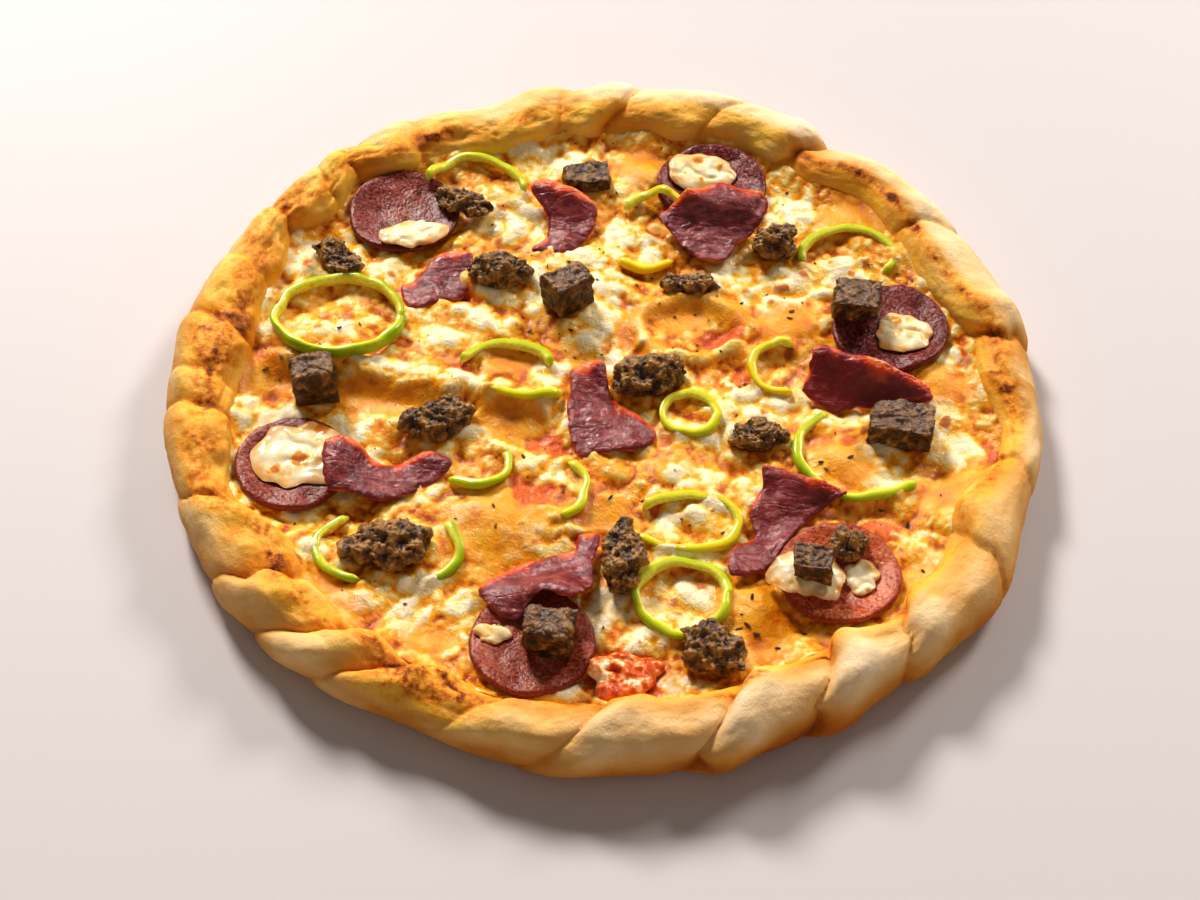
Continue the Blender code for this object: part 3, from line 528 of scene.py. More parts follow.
def crust_material(props):
    """Baked wheat dough: matt and floury outside, oily and golden where cheese and fat ran."""
    mat, add, place = new_material("Baked wheat crust")
    wide = add("TexNoise", {"Vector": place, "Scale": 1 / (14 * MM), "Detail": 3.0})
    speck = add("TexNoise", {"Vector": place, "Scale": 1 / (3.4 * MM), "Detail": 6.0, "Roughness": 0.66})
    fine = add("TexNoise", {"Vector": place, "Scale": 1 / (1.0 * MM), "Detail": 3.0})
    bake, toast, oil = (add("Attribute", {"attribute_name": name}, "Fac")
                        for name in ("bake", "toast", "oil"))
    drift = add("Math", {0: wide, 1: 0.26, 2: -0.13})
    # The baking mask also carries painted shade in the fold creases and on the low front face.
    tone = add("Math", {"operation": "ADD", 0: bake, 1: drift})
    burn = add("MapRange", {"Value": speck, "From Min": 0.38, "From Max": 0.66, "To Min": 0.12,
                            "To Max": 0.80})
    tone = add("Math", {0: toast, 1: burn, 2: tone})
    dry = add("ValToRGB", {"Fac": tone, "stops": (
        (0.0, "#FCE8C8"), (0.18, "#F8D8A8"), (0.38, props.crust_tan), (0.60, "#DE983C"),
        (0.80, props.crust_toast), (1.0, props.crust_dark))})
    wet = add("ValToRGB", {"Fac": tone, "stops": (
        (0.0, "#FFE684"), (0.36, props.crust_gold), (0.62, "#FAAA2C"), (0.82, props.crust_toast),
        (1.0, props.crust_dark))})
    colour = add("Mix", {0: oil, 6: dry, 7: wet}, 2)
    rough = add("MapRange", {"Value": oil, "To Min": 0.78, "To Max": 0.45})
    return close_material(mat, add, ((speck, 1.0, 0.55), (fine, 0.3, 0.5)), {
        "Base Color": colour, "Roughness": rough, "IOR": 1.42, "Specular IOR Level": 0.3,
        "Subsurface Weight": 0.15, "Subsurface Radius": (1.0, 0.5, 0.2), "Subsurface Scale": 2 * MM})


def make_crust(props):
    columns, rows = props.columns, props.rows
    angles = np.arange(columns) * 360.0 / columns
    sections = np.concatenate([np.linspace(-75.0, 150.0, rows - 6), np.linspace(155.0, 180.0, 6)])
    angle, section = np.meshgrid(angles, sections)
    points, folds, place = rim_surface(angle, section)
    turn = np.radians(angles)
    foot = (RIM_OUTER + lump_sum(angles, 2) - FOOT_INSET)[:, None] * np.stack(
        [np.cos(turn), np.sin(turn), np.zeros(columns)], -1)
    lean = angles + rim_twist(angles) * 0.5
    wall_turn, wall = np.radians(lean), rim_inner(lean)
    inside = [np.stack([(wall + grow) * np.cos(wall_turn), (wall + grow) * np.sin(wall_turn),
                        np.full(columns, height)], -1)
              for grow, height in ((1.0, WALL_FOOT), (0.5, FLOOR_TOP))]
    base = [foot * share for share in (0.3, 0.6, 0.85, 1.0)]
    floor = [inside[1] * (share, share, 1.0) for share in (0.75, 0.4)]
    stack = np.concatenate(base + list(points) + inside + floor + [[[0, 0, 0], [0, 0, FLOOR_TOP]]])
    faces = closed_faces(len(base) + rows + len(inside) + len(floor), columns)
    before, behind = len(base) * columns, (len(inside) + len(floor)) * columns + 2
    masks = {}
    for key, values in zip(("bake", "toast", "oil"), crust_masks(section, folds, place)):
        plain = 0.4 if key == "bake" else 0.0
        masks[key] = np.concatenate([np.full(before, plain), np.ravel(values), np.full(behind, plain)])
    return add_piece("rolled_crust", stack, faces, crust_material(props), ["dough"], masks)


# Cheese


def ridge_height(x, y):
    xs, ys = [p[0] for p in RIDGE_LINE], [p[1] for p in RIDGE_LINE]
    behind = y - np.interp(x, xs, ys)
    face = step(1.0 + behind / RIDGE_SLOPE)
    slope = np.exp(-np.maximum(behind, 0.0) / RIDGE_BACK)
    inside = (x >= xs[0]) & (x <= xs[-1] + 14)
    return np.where(inside, RIDGE_HEIGHT * face * slope * step((xs[-1] + 14 - x) / 45.0), 0.0)


def crater_height(x, y):
    cx, cy, rx, ry, rise = CRATER
    away = np.hypot((x - cx) / rx, (y - cy) / ry)
    return rise * bell(away - 1.0, 0.24) - 0.8 * bell(away, 0.7)


def cheese_form(x, y):
    """Top of the cheese as in the solids."""
    height = CHEESE_BASE + CHEESE_SWELL * swell(x, y, 24.0, 2) + CHEESE_RIPPLE * swell(x, y, 10.0, 3)
    for cx, cy, radius, rise in DOMES:
        height += rise * bell(np.hypot(x - cx, y - cy), radius)
    height += ridge_height(x, y) + crater_height(x, y)
    edge = rim_inner(np.degrees(np.arctan2(y, x)) % 360.0) - np.hypot(x, y)
    return CHEESE_EDGE + (height - CHEESE_EDGE) * step(edge / EDGE_BLEND)


def pepper_line(shape, number, spacing):
    """Points along a wavy oval arc, as in the solids, and whether it closes."""
    x, y, length, width, first, last = shape[:6]
    closed = last - first >= 360
    count = max(5, round(math.radians(last - first) * (length + width) / 2 / spacing))
    steps = count if closed else count + 1
    angle = np.radians(first + (last - first) * np.arange(steps) / count)
    grow = 1.0 + 0.09 * swell(np.cos(angle) * 2, np.sin(angle) * 2, 1.0, 40 + number)
    return np.stack([x + length * grow * np.cos(angle), y + width * grow * np.sin(angle)], -1), closed


def cheese_top(x, y, props):
    """Height of the dressed cheese and its masks: white pools stand proud, the rest is curdled."""
    white = blobs(x, y, WHITE_CHEESE, 0.55, 41, 1.1)
    gold = blobs(x, y, GOLD_CHEESE, 0.30, 51, 0.8)
    red = blobs(x, y, RED_CHEESE, 0.8, 61, 0.5)
    loose = step((grain(x, y, 10.0, 71, 3) - 0.15) / 0.9)
    white = np.maximum(white * (0.85 + 0.40 * grain(x, y, 6.0, 73, 3)), 0.35 * loose * (1.0 - gold))
    brown = blistered(x, y)
    smooth = np.maximum(0.8 * gold, 0.65 * white)
    puffs = 2.2 * np.abs(grain(x, y, 15.0, 109, 1)) + 1.2 * np.abs(grain(x, y, 7.5, 101, 1)) - 1.2
    curds = 0.8 * np.abs(grain(x, y, 3.6, 103, 2)) + 0.25 * np.abs(grain(x, y, 1.9, 107)) - 0.4
    height = cheese_form(x, y) + props.white_rise / MM * white
    height += (1.0 - 0.8 * gold) * props.puff / MM * puffs + (1.0 - smooth) * props.curd / MM * curds
    height += 0.45 * brown - 0.6 * red * (1.0 - white)
    return height, white, gold, red * (1.0 - 0.5 * white), brown


def cheese_material(props):
    """Melted cheese: cream where it pooled, oily gold over the dough, blistered brown in spots, deeper
    amber in hollows from pooled oil and painted shade.
    """
    mat, add, place = new_material("Melted cheese")
    wide = add("TexNoise", {"Vector": place, "Scale": 1 / (9 * MM), "Detail": 4.0})
    curd = add("TexNoise", {"Vector": place, "Scale": 1 / (3.2 * MM), "Detail": 5.0, "Roughness": 0.6,
                                   "Distortion": 0.6})
    fine = add("TexNoise", {"Vector": place, "Scale": 1 / (1.0 * MM), "Detail": 3.0})
    white, gold, red, brown, hollow = (add("Attribute", {"attribute_name": name}, "Fac")
                                       for name in ("white", "gold", "red", "brown", "hollow"))
    tone = add("Math", {0: white, 1: 0.54, 2: -0.29})
    tone = add("Math", {0: curd, 1: 0.75, 2: tone})
    tone = add("Math", {0: wide, 1: 1.05, 2: tone})
    # Deeper amber where the surface lies below its neighbours: partly oil pooled there, partly painted
    # shade.
    tone = add("Math", {0: hollow, 1: -0.60, 2: tone})
    mixed = add("ValToRGB", {"Fac": tone, "stops": (
        (0.0, props.amber), (0.12, props.orange), (0.28, props.gold), (0.44, "#FBBA38"),
        (0.62, props.cream), (0.92, props.milk))})
    smooth = add("ValToRGB", {"Fac": wide, "stops": (
        (0.30, props.orange), (0.48, props.gold), (0.72, "#F8BC34"))})
    bubble = add("Math", {"operation": "MULTIPLY", 0: gold, 1: 0.8})
    colour = add("Mix", {0: bubble, 6: mixed, 7: smooth}, 2)
    pulp = add("Math", {"operation": "ADD", 0: red, 1: curd})
    pulp = add("MapRange", {"Value": pulp, "From Min": 1.0, "From Max": 1.50, "To Max": 0.85})
    tomato = add("ValToRGB", {"Fac": fine, "stops": ((0.35, "#C8400C"), (0.65, "#EE7420"))})
    colour = add("Mix", {0: pulp, 6: colour, 7: tomato}, 2)
    spot = add("Math", {"operation": "ADD", 0: brown, 1: curd})
    spot = add("MapRange", {"Value": spot, "From Min": 0.66, "From Max": 1.50})
    toasted = add("ValToRGB", {"Fac": spot, "stops": (
        (0.0, "#FFCC58"), (0.35, "#F8A820"), (0.70, "#E08410"), (1.0, props.brown))})
    share = add("MapRange", {"Value": spot, "From Min": 0.0, "From Max": 0.60, "To Max": 0.9})
    colour = add("Mix", {0: share, 6: colour, 7: toasted}, 2)
    fleck = add("MapRange", {"Value": fine, "From Min": 0.66, "From Max": 0.72, "To Max": 0.5})
    colour = add("Mix", {0: fleck, 6: colour, 7: props.fleck}, 2)
    return close_material(mat, add, ((curd, 1.5, 0.5), (fine, 0.5, 0.5)), {
        "Base Color": colour, "Roughness": 0.5, "IOR": 1.46, "Specular IOR Level": 0.05,
        "Coat Weight": 0.65, "Coat Roughness": 0.10, "Coat IOR": 1.47,
        "Subsurface Weight": 0.15, "Subsurface Radius": (1.0, 0.8, 0.3), "Subsurface Scale": 1.5 * MM})


def soften(grid, passes):
    """Average each point of a grid with its neighbours."""
    for _ in range(passes):
        for axis in (0, 1):
            grid = (np.roll(grid, 1, axis) + grid + np.roll(grid, -1, axis)) / 3.0
    return grid


def make_cheese(props):
    """A square grid bent to the round of the rim, closed underneath."""
    count = props.grid
    line = np.linspace(-1.0, 1.0, count + 1)
    u, v = np.meshgrid(line, line)
    x, y = u * np.sqrt(1 - v * v / 2), v * np.sqrt(1 - u * u / 2)
    share = np.hypot(x, y)
    reach = rim_inner(np.degrees(np.arctan2(y, x)) % 360.0) + CHEESE_TUCK
    x, y = x * reach, y * reach
    height, white, gold, red, brown = cheese_top(x, y, props)
    # How far each point lies below its neighbours, which the material turns deeper amber: partly pooled
    # oil, partly painted shade.
    hollow = np.clip(0.5 + (soften(height, 5) - height) * 1.4, 0.0, 1.0)
    rings = [point for i, shape in enumerate(PEPPERS, start=1)
             for point in pepper_line(shape, i, 1.5)[0]]
    ring = KDTree(len(rings))
    for i, (px, py) in enumerate(rings):
        ring.insert(Vector((px, py, 0.0)), i)
    ring.balance()
    near = [ring.find(Vector((a, b, 0.0)))[2] for a, b in zip(x.ravel(), y.ravel())]
    climb = bell(np.array(near).reshape(x.shape), 2.6)
    climb *= np.clip(0.40 + 0.8 * grain(x, y, 9.0, 131), 0.0, 1.2)
    patchy = 0.6 + 0.6 * grain(x, y, 6.0, 137)
    for low, high in [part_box(name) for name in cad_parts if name.startswith("meat_")]:
        away = np.hypot((2 * x * MM - low[0] - high[0]) / (high[0] - low[0]),
                        (2 * y * MM - low[1] - high[1]) / (high[1] - low[1]))
        climb = np.maximum(climb, 0.6 * bell(away - 0.95, 0.3) * patchy)
    height = height + props.climb / MM * climb
    height = height + 1.5 * step((share - 0.965) / 0.035)
    top = np.stack([x, y, height], -1).reshape(-1, 3)
    size = count + 1
    corners = [r * size + c for r in range(count) for c in range(count)]
    faces = [(a, a + 1, a + size + 1, a + size) for a in corners]
    border = list(range(size)) + [r * size + count for r in range(1, size)]
    border += [count * size + c for c in range(count - 1, -1, -1)]
    border += [r * size for r in range(count - 1, 0, -1)]
    first = len(top)
    below = top[border].copy()
    below[:, 2] = FLOOR_TOP + 0.4
    for i in range(len(border)):
        after = (i + 1) % len(border)
        faces.append((border[after], border[i], first + i, first + after))
        faces.append((first + after, first + i, first + len(border)))
    points = np.concatenate([top, below, [[0, 0, FLOOR_TOP + 0.4]]])
    spare = np.zeros(len(border) + 1)
    masks = {key: np.concatenate([values.ravel(), spare]) for key, values in
             (("white", white), ("gold", gold), ("red", red), ("brown", brown), ("hollow", hollow))}
    return add_piece("melted_cheese", points, faces, cheese_material(props), ["cheese"], masks)


# Flat toppings


def edge_of(tree, cx, cy, count, reach):
    """Outline of a round solid: how far it goes from its middle at each angle."""
    outline = []
    for i in range(count):
        turn = 2 * math.pi * i / count
        low, high = 0.0, reach
        for _ in range(12):
            middle = (low + high) / 2
            spot = Vector((cx + middle * math.cos(turn), cy + middle * math.sin(turn), BELOW))
            if tree.ray_cast(spot, UP)[0] is None:
                high = middle
            else:
                low = middle
        outline.append(low)
    smooth = np.array(outline)
    for _ in range(3):
        smooth = (np.roll(smooth, 1) + 2 * smooth + np.roll(smooth, -1)) / 4
    return smooth


def make_disc(name, node_name, mat, thick, size, uneven, seed, top_shape, masks):
    """A round slab over its solid's underside, with a rounded edge and masks for its material."""
    rows, columns = size
    uneven, wave = uneven
    tree = solid_tree(node_name)
    low, high = (Vector(corner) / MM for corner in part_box(node_name))
    cx, cy = (low.x + high.x) / 2, (low.y + high.y) / 2
    turn = 2 * np.pi * np.arange(columns) / columns
    edge = edge_of(tree, cx, cy, columns, (high - low).length)
    edge = edge * (1.0 + uneven * grain(np.cos(turn) * 14, np.sin(turn) * 14, wave, seed, 2))
    shares = list(np.linspace(0.06, 0.92, rows)) + [0.955, 0.98, 0.996]
    points, shade = [], []
    for side in (1, -1):
        for share in (shares if side > 0 else reversed(shares)):
            x, y = cx + edge * share * np.cos(turn), cy + edge * share * np.sin(turn)
            base = np.array([under_side(tree, a, b) for a, b in zip(x, y)])
            rise = thick * top_shape(share, x, y) if side > 0 else 0.15 * thick * share ** 8
            points.append(np.stack([x, y, base + rise], -1))
            shade.append(np.full(columns, share))
    faces = closed_faces(len(points), columns, turned=True)
    flat = np.concatenate(points + [[points[0].mean(axis=0), points[-1].mean(axis=0)]])
    layers = {"rim": np.concatenate(shade + [[0.0, 0.0]]), "brown": blistered(flat[:, 0], flat[:, 1])}
    layers.update({key: np.full(len(flat), value) for key, value in masks.items()})
    return add_piece(name, flat, faces, mat, [node_name], layers)


def salami_material(props):
    """Cured sausage: lean meat finely ground with fat, glossy with melted fat, darker casing."""
    mat, add, place = new_material("Sliced salami")
    grit = add("TexNoise", {"Vector": place, "Scale": 1 / (1.3 * MM), "Detail": 3.0, "Roughness": 0.6})
    wide = add("TexNoise", {"Vector": place, "Scale": 1 / (9 * MM), "Detail": 3.0})
    pits = add("TexVoronoi", {"Vector": place, "Scale": 1 / (2.4 * MM)}, "Distance")
    red, rim = (add("Attribute", {"attribute_name": name}, "Fac") for name in ("red", "rim"))
    tone = add("Math", {0: wide, 1: 0.5, 2: -0.25})
    tone = add("Math", {"operation": "ADD", 0: grit, 1: tone})
    purple = add("ValToRGB", {"Fac": tone, "stops": (
        (0.34, props.salami_dark), (0.52, props.salami_lean), (0.66, "#9A4A46"),
        (0.78, props.salami_fat))})
    brick = add("ValToRGB", {"Fac": tone, "stops": (
        (0.32, "#94301A"), (0.50, props.salami_brick), (0.66, "#D67E50"), (0.78, "#F2C090"))})
    colour = add("Mix", {0: red, 6: purple, 7: brick}, 2)
    holes = add("MapRange", {"Value": pits, "From Min": 0.10, "From Max": 0.22, "To Min": 0.55,
                             "To Max": 0.0})
    colour = add("Mix", {0: holes, 6: colour, 7: props.salami_dark}, 2)
    skin = add("MapRange", {"Value": rim, "From Min": 0.93, "From Max": 0.97, "To Max": 0.7})
    colour = add("Mix", {0: skin, 6: colour, 7: props.salami_casing}, 2)
    rough = add("MapRange", {"Value": grit, "From Min": 0.3, "From Max": 0.7, "To Min": 0.20,
                             "To Max": 0.42})
    return close_material(mat, add, ((wide, 2.0, 0.5), (grit, 0.6, 0.6)), {
        "Base Color": colour, "Roughness": rough, "IOR": 1.46, "Specular IOR Level": 0.4,
        "Subsurface Weight": 0.1, "Subsurface Radius": (1.0, 0.3, 0.2), "Subsurface Scale": 2 * MM})


def pool_material(props):
    """Fresh white cheese that pooled: milky, smooth, with a few golden blisters."""
    mat, add, place = new_material("Pooled white cheese")
    wide = add("TexNoise", {"Vector": place, "Scale": 1 / (6 * MM), "Detail": 4.0})
    fine = add("TexNoise", {"Vector": place, "Scale": 1 / (1.2 * MM), "Detail": 3.0})
    brown, rim = (add("Attribute", {"attribute_name": name}, "Fac") for name in ("brown", "rim"))
    milky = add("ValToRGB", {"Fac": wide, "stops": (
        (0.32, "#F6D28A"), (0.46, "#FBE8BC"), (0.62, props.milk))})
    worn = add("Math", {0: wide, 1: -0.5, 2: rim})
    thin = add("MapRange", {"Value": worn, "From Min": 0.42, "From Max": 0.78, "To Max": 0.85})
    colour = add("Mix", {0: thin, 6: milky, 7: "#E6A050"}, 2)
    spot = add("Math", {"operation": "ADD", 0: brown, 1: fine})
    spot = add("MapRange", {"Value": spot, "From Min": 0.70, "From Max": 1.45})
    toasted = add("ValToRGB", {"Fac": spot, "stops": (
        (0.0, "#FFD068"), (0.45, "#F4A828"), (1.0, "#D67C14"))})
    share = add("MapRange", {"Value": spot, "From Min": 0.0, "From Max": 0.45, "To Max": 0.9})
    colour = add("Mix", {0: share, 6: colour, 7: toasted}, 2)
    return close_material(mat, add, ((wide, 0.9, 0.4), (fine, 0.25, 0.3)), {
        "Base Color": colour, "Roughness": 0.5, "IOR": 1.46, "Specular IOR Level": 0.05,
        "Coat Weight": 0.45, "Coat Roughness": 0.14, "Coat IOR": 1.47,
        "Subsurface Weight": 0.2, "Subsurface Radius": (1.0, 0.6, 0.2), "Subsurface Scale": 2 * MM})


def sauce_material():
    """Chopped cooked tomato: wet, orange red, with pulp and bits of cheese on it."""
    mat, add, place = new_material("Chopped tomato")
    pulp = add("TexNoise", {"Vector": place, "Scale": 1 / (4 * MM), "Detail": 4.0})
    fine = add("TexNoise", {"Vector": place, "Scale": 1 / (1.2 * MM), "Detail": 3.0})
    colour = add("ValToRGB", {"Fac": pulp, "stops": (
        (0.32, "#B83C08"), (0.46, "#DE661C"), (0.55, "#F09A50"), (0.61, "#FBE4C0"))})
    return close_material(mat, add, ((pulp, 1.2, 0.6), (fine, 0.4, 0.6)), {
        "Base Color": colour, "Roughness": 0.25, "IOR": 1.4,
        "Subsurface Weight": 0.25, "Subsurface Radius": (1.0, 0.25, 0.1), "Subsurface Scale": 3 * MM})


# Ham


def smooth_outline(points, per_span):
    """A closed Catmull-Rom curve through points."""
    points = np.array(points, float)
    before, after, next_after = np.roll(points, 1, 0), np.roll(points, -1, 0), np.roll(points, -2, 0)
    curve = []
    for i in range(len(points)):
        for k in range(per_span):
            t = k / per_span
            curve.append(0.5 * (2 * points[i] + (after[i] - before[i]) * t
                                + (2 * before[i] - 5 * points[i] + 4 * after[i] - next_after[i]) * t * t
                                + (3 * points[i] - before[i] - 3 * after[i] + next_after[i]) * t ** 3))
    return np.array(curve)


def inside_mask(x, y, outline):
    crossings = np.zeros(np.shape(x), int)
    following = np.roll(outline, -1, 0)
    for a, b in zip(outline, following):
        if a[1] == b[1]:
            continue
        straddles = (a[1] > y) != (b[1] > y)
        crossings += straddles & (x < a[0] + (b[0] - a[0]) * (y - a[1]) / (b[1] - a[1]))
    return crossings % 2 == 1


def ham_material(props):
    """Dry cured ham: mauve lean with fine grain, glossy with fat, its thin edges orange red with a painted
    backlight glow.
    """
    mat, add, place = new_material("Dry cured ham")
    along = add("Mapping", {"Vector": place, "Rotation": (0.0, 0.0, 0.7), "Scale": (0.25, 1.0, 1.0)})
    fibre = add("TexNoise", {"Vector": along, "Scale": 1 / (1.6 * MM), "Detail": 4.0, "Roughness": 0.6})
    cloud = add("TexNoise", {"Vector": place, "Scale": 1 / (9 * MM), "Detail": 5.0, "Distortion": 0.8})
    rim = add("Attribute", {"attribute_name": "rim"}, "Fac")
    tone = add("Math", {0: cloud, 1: 0.5, 2: fibre})
    colour = add("ValToRGB", {"Fac": tone, "stops": (
        (0.52, props.ham_dark), (0.72, props.ham_lean), (1.0, props.ham_pale))})
    bent = add("TexNoise", {"Vector": place, "Scale": 1 / (6 * MM), "Detail": 2.0}, "Color")
    bent = add("VectorMath", {0: bent, 1: (4 * MM, 4 * MM, 0.0), 2: along})
    seam = add("TexVoronoi", {"feature": "DISTANCE_TO_EDGE", "Vector": bent, "Scale": 1 / (9 * MM)})
    seam = add("MapRange", {"Value": seam, "From Max": 0.05, "To Min": 0.35, "To Max": 0.0})
    colour = add("Mix", {0: seam, 6: colour, 7: props.ham_dark}, 2)
    deep = add("Attribute", {"attribute_name": "deep"}, "Fac")
    colour = add("Mix", {0: deep, 6: colour, 7: props.ham_deep}, 2)
    edge = add("Math", {0: cloud, 1: 0.4, 2: -0.2})
    edge = add("Math", {"operation": "ADD", 0: edge, 1: rim})
    # Orange red of the thin edges: partly the ham's own edge colour, partly painted backlight glow,
    # brightest orange where the rim mask is strongest.
    edge_and_painted_glow = add("ValToRGB", {"Fac": edge, "stops": (
        (0.25, props.ham_lean), (0.45, "#92241A"), (0.72, props.ham_edge), (0.98, "#EE8438"))})
    share = add("MapRange", {"Value": edge, "From Min": 0.20, "From Max": 0.50})
    colour = add("Mix", {0: share, 6: colour, 7: edge_and_painted_glow}, 2)
    wrinkle = add("TexNoise", {"Vector": place, "Scale": 1 / (3.4 * MM), "Detail": 5.0,
                                      "Roughness": 0.62, "Distortion": 1.2})
    return close_material(mat, add, ((wrinkle, 1.2, 0.5), (seam, -0.5, 0.6), (fibre, 0.3, 0.5)), {
        "Base Color": colour, "Roughness": 0.3, "IOR": 1.46, "Specular IOR Level": 0.6,
        "Subsurface Weight": 0.2, "Subsurface Radius": (1.0, 0.22, 0.12), "Subsurface Scale": 1.6 * MM})


def make_ham(props, mat):
    for number, slice_ in enumerate(HAM, start=1):
        name = f"ham_{number}"
        tree = solid_tree(name)
        curve = smooth_outline(slice_, OUTLINE_STEPS)
        outward = curve - curve.mean(axis=0)
        outward /= np.maximum(np.hypot(outward[:, 0], outward[:, 1])[:, None], 1e-6)
        along = np.roll(curve, -1, 0) - np.roll(curve, 1, 0)
        facing = -along[:, 0] / np.maximum(np.hypot(along[:, 0], along[:, 1]), 1e-6)
        area = np.sum(curve[:, 0] * np.roll(curve[:, 1], -1) - np.roll(curve[:, 0], -1) * curve[:, 1])
        facing = facing if area > 0 else -facing
        curve = curve + outward * (0.45 * grain(curve[:, 0], curve[:, 1], 2.2, 200 + number, 2))[:, None]
        gap = props.ham_mesh / MM
        low, high = curve.min(axis=0), curve.max(axis=0)
        gx, gy = np.meshgrid(np.arange(low[0], high[0], gap), np.arange(low[1], high[1], gap * 0.866))
        gx = gx + (np.arange(gx.shape[0]) % 2)[:, None] * gap / 2
        gx, gy = gx.ravel(), gy.ravel()
        away = np.hypot(gx[:, None] - curve[None, :, 0], gy[:, None] - curve[None, :, 1])
        keep = inside_mask(gx, gy, curve) & (away.min(axis=1) > gap * 0.6)
        x, y = np.concatenate([curve[:, 0], gx[keep]]), np.concatenate([curve[:, 1], gy[keep]])
        depth = np.concatenate([np.zeros(len(curve)), away.min(axis=1)[keep]])
        back = np.concatenate([facing, facing[away.argmin(axis=1)][keep]])
        base = np.array([under_side(tree, a, b, 3.0) for a, b in zip(x, y)])
        base = base + 0.55 * grain(x, y, 8.0, 220 + number) + 0.25 * grain(x, y, 3.4, 230 + number, 2)
        thick = props.ham_thick / MM * (0.4 + 0.6 * step(depth / 2.0))
        count, border = len(x), len(curve)
        edges = [(i, (i + 1) % border) for i in range(border)]
        result = delaunay_2d_cdt([Vector((a, b)) for a, b in zip(x, y)], edges, [], 1, 1e-7)
        if len(result[0]) != count:
            raise RuntimeError(name + " has an outline that crosses itself")
        upper = [tuple(f) for f in result[2]]
        faces = upper + [tuple(i + count for i in reversed(f)) for f in upper]
        faces += [(j, i, i + count, j + count) for i, j in edges]
        points = np.concatenate([np.stack([x, y, base + thick], -1), np.stack([x, y, base], -1)])
        # Edges that face the back, towards the lamps, get a wider and brighter rim: painted backlight glow
        # over the ham's own orange red edge.
        back = np.clip(back, 0.0, 1.0) ** 2
        reach = 0.7 + (3.2 + 3.0 * HAM_DEEP[number - 1]) * back
        rim = np.exp(-depth / (props.ham_edge_width / MM * reach)) * (0.62 + 0.4 * back)
        rim *= 1.0 + 0.5 * grain(x, y, 7.0, 240 + number, 2)
        piece = add_piece(f"ham_slice_{number}", points, faces, mat, [name],
                          {"rim": np.concatenate([rim, np.maximum(rim, 0.45)]),
                           "deep": np.full(len(points), HAM_DEEP[number - 1])})
        turn_out(piece)


# Pepper


def pepper_material(props):
    """Baked green pepper: glossy skin outside, pale wet flesh inside, light passing through."""
    mat, add, place = new_material("Baked green pepper")
    wide = add("TexNoise", {"Vector": place, "Scale": 1 / (9 * MM), "Detail": 3.0})
    fine = add("TexNoise", {"Vector": place, "Scale": 1 / (1.2 * MM), "Detail": 3.0})
    yellow, flesh = (add("Attribute", {"attribute_name": name}, "Fac") for name in ("yellow", "flesh"))
    tone = add("Math", {0: yellow, 1: 0.75, 2: -0.15})
    tone = add("Math", {0: wide, 1: 0.7, 2: tone})
    skin = add("ValToRGB", {"Fac": tone, "stops": (
        (0.15, "#9CB812"), (0.38, props.pepper_green), (0.62, "#DCD420"), (0.90, props.pepper_yellow))})
    inner = add("ValToRGB", {"Fac": fine, "stops": ((0.35, "#D8DA3C"), (0.65, "#EEEA74"))})
    colour = add("Mix", {0: flesh, 6: skin, 7: inner}, 2)
    scorch = add("MapRange", {"Value": wide, "From Min": 0.62, "From Max": 0.74, "To Max": 0.5})
    colour = add("Mix", {0: scorch, 6: colour, 7: "#B08A1C"}, 2)
    return close_material(mat, add, ((fine, 0.25, 0.4),), {
        "Base Color": colour, "Roughness": 0.2, "IOR": 1.42,
        "Subsurface Weight": 0.7, "Subsurface Radius": (0.9, 1.0, 0.2), "Subsurface Scale": 4 * MM})


def make_peppers(props, mat):
    section = np.radians(np.arange(14) * 360.0 / 14)
    for number, shape in enumerate(PEPPERS, start=1):
        name = f"pepper_{number}"
        tree = solid_tree(name)
        path, closed = pepper_line(shape, number, 0.9)
        along = np.roll(path, -1, 0) - np.roll(path, 1, 0) if closed else np.gradient(path, axis=0)
        along /= np.hypot(along[:, 0], along[:, 1])[:, None]
        side = np.stack([along[:, 1], -along[:, 0]], -1)
        low = np.array([under_side(tree, a, b, 1.0) for a, b in path])
        for _ in range(4):
            ends = (low[0], low[-1])
            low = (np.roll(low, 1) + 2 * low + np.roll(low, -1)) / 4
            if not closed:
                low[0], low[-1] = ends
        run = np.arange(len(path)) * 0.9
        wide = props.pepper_wide / MM / 2 * (1.0 + 0.22 * grain(run, run * 0, 9.0, 300 + number))
        tall = shape[6] / 2 * (1.0 + 0.15 * grain(run, run * 0 + 5, 7.0, 320 + number))
        if not closed:
            tip = step((np.minimum(np.arange(len(path)), np.arange(len(path))[::-1]) + 0.6) / 3.5)
            wide, tall = wide * (0.25 + 0.75 * tip), tall * (0.35 + 0.65 * tip)
        points, flesh = [], []
        for turn in section:
            out, rise = math.cos(turn), math.sin(turn)
            out = math.copysign(abs(out) ** 0.6, out)
            rise = math.copysign(abs(rise) ** 0.7, rise)
            lean = 0.5 * np.sin(run / 6.0 + number) * max(rise, 0.0)
            reach = (wide * out + lean)[:, None]
            points.append(np.concatenate([path + side * reach, (low + tall * (1.0 + rise))[:, None]], 1))
            flesh.append(np.full(len(path), float(np.clip(0.45 - 1.1 * out, 0.0, 1.0))))
        rows = len(path)
        faces = ring_faces(rows, len(section), closed)
        if not closed:
            faces.append(tuple(range(len(section)))[::-1])
            faces.append(tuple(range((rows - 1) * len(section), rows * len(section))))
        grid, shade = np.stack(points, 1).reshape(-1, 3), np.stack(flesh, 1).ravel()
        piece = add_piece(f"pepper_piece_{number}", grid, faces, mat, [name],
                          {"flesh": shade, "yellow": np.full(len(grid), PEPPER_YELLOW[number - 1])})
        turn_out(piece)


# Roast meat


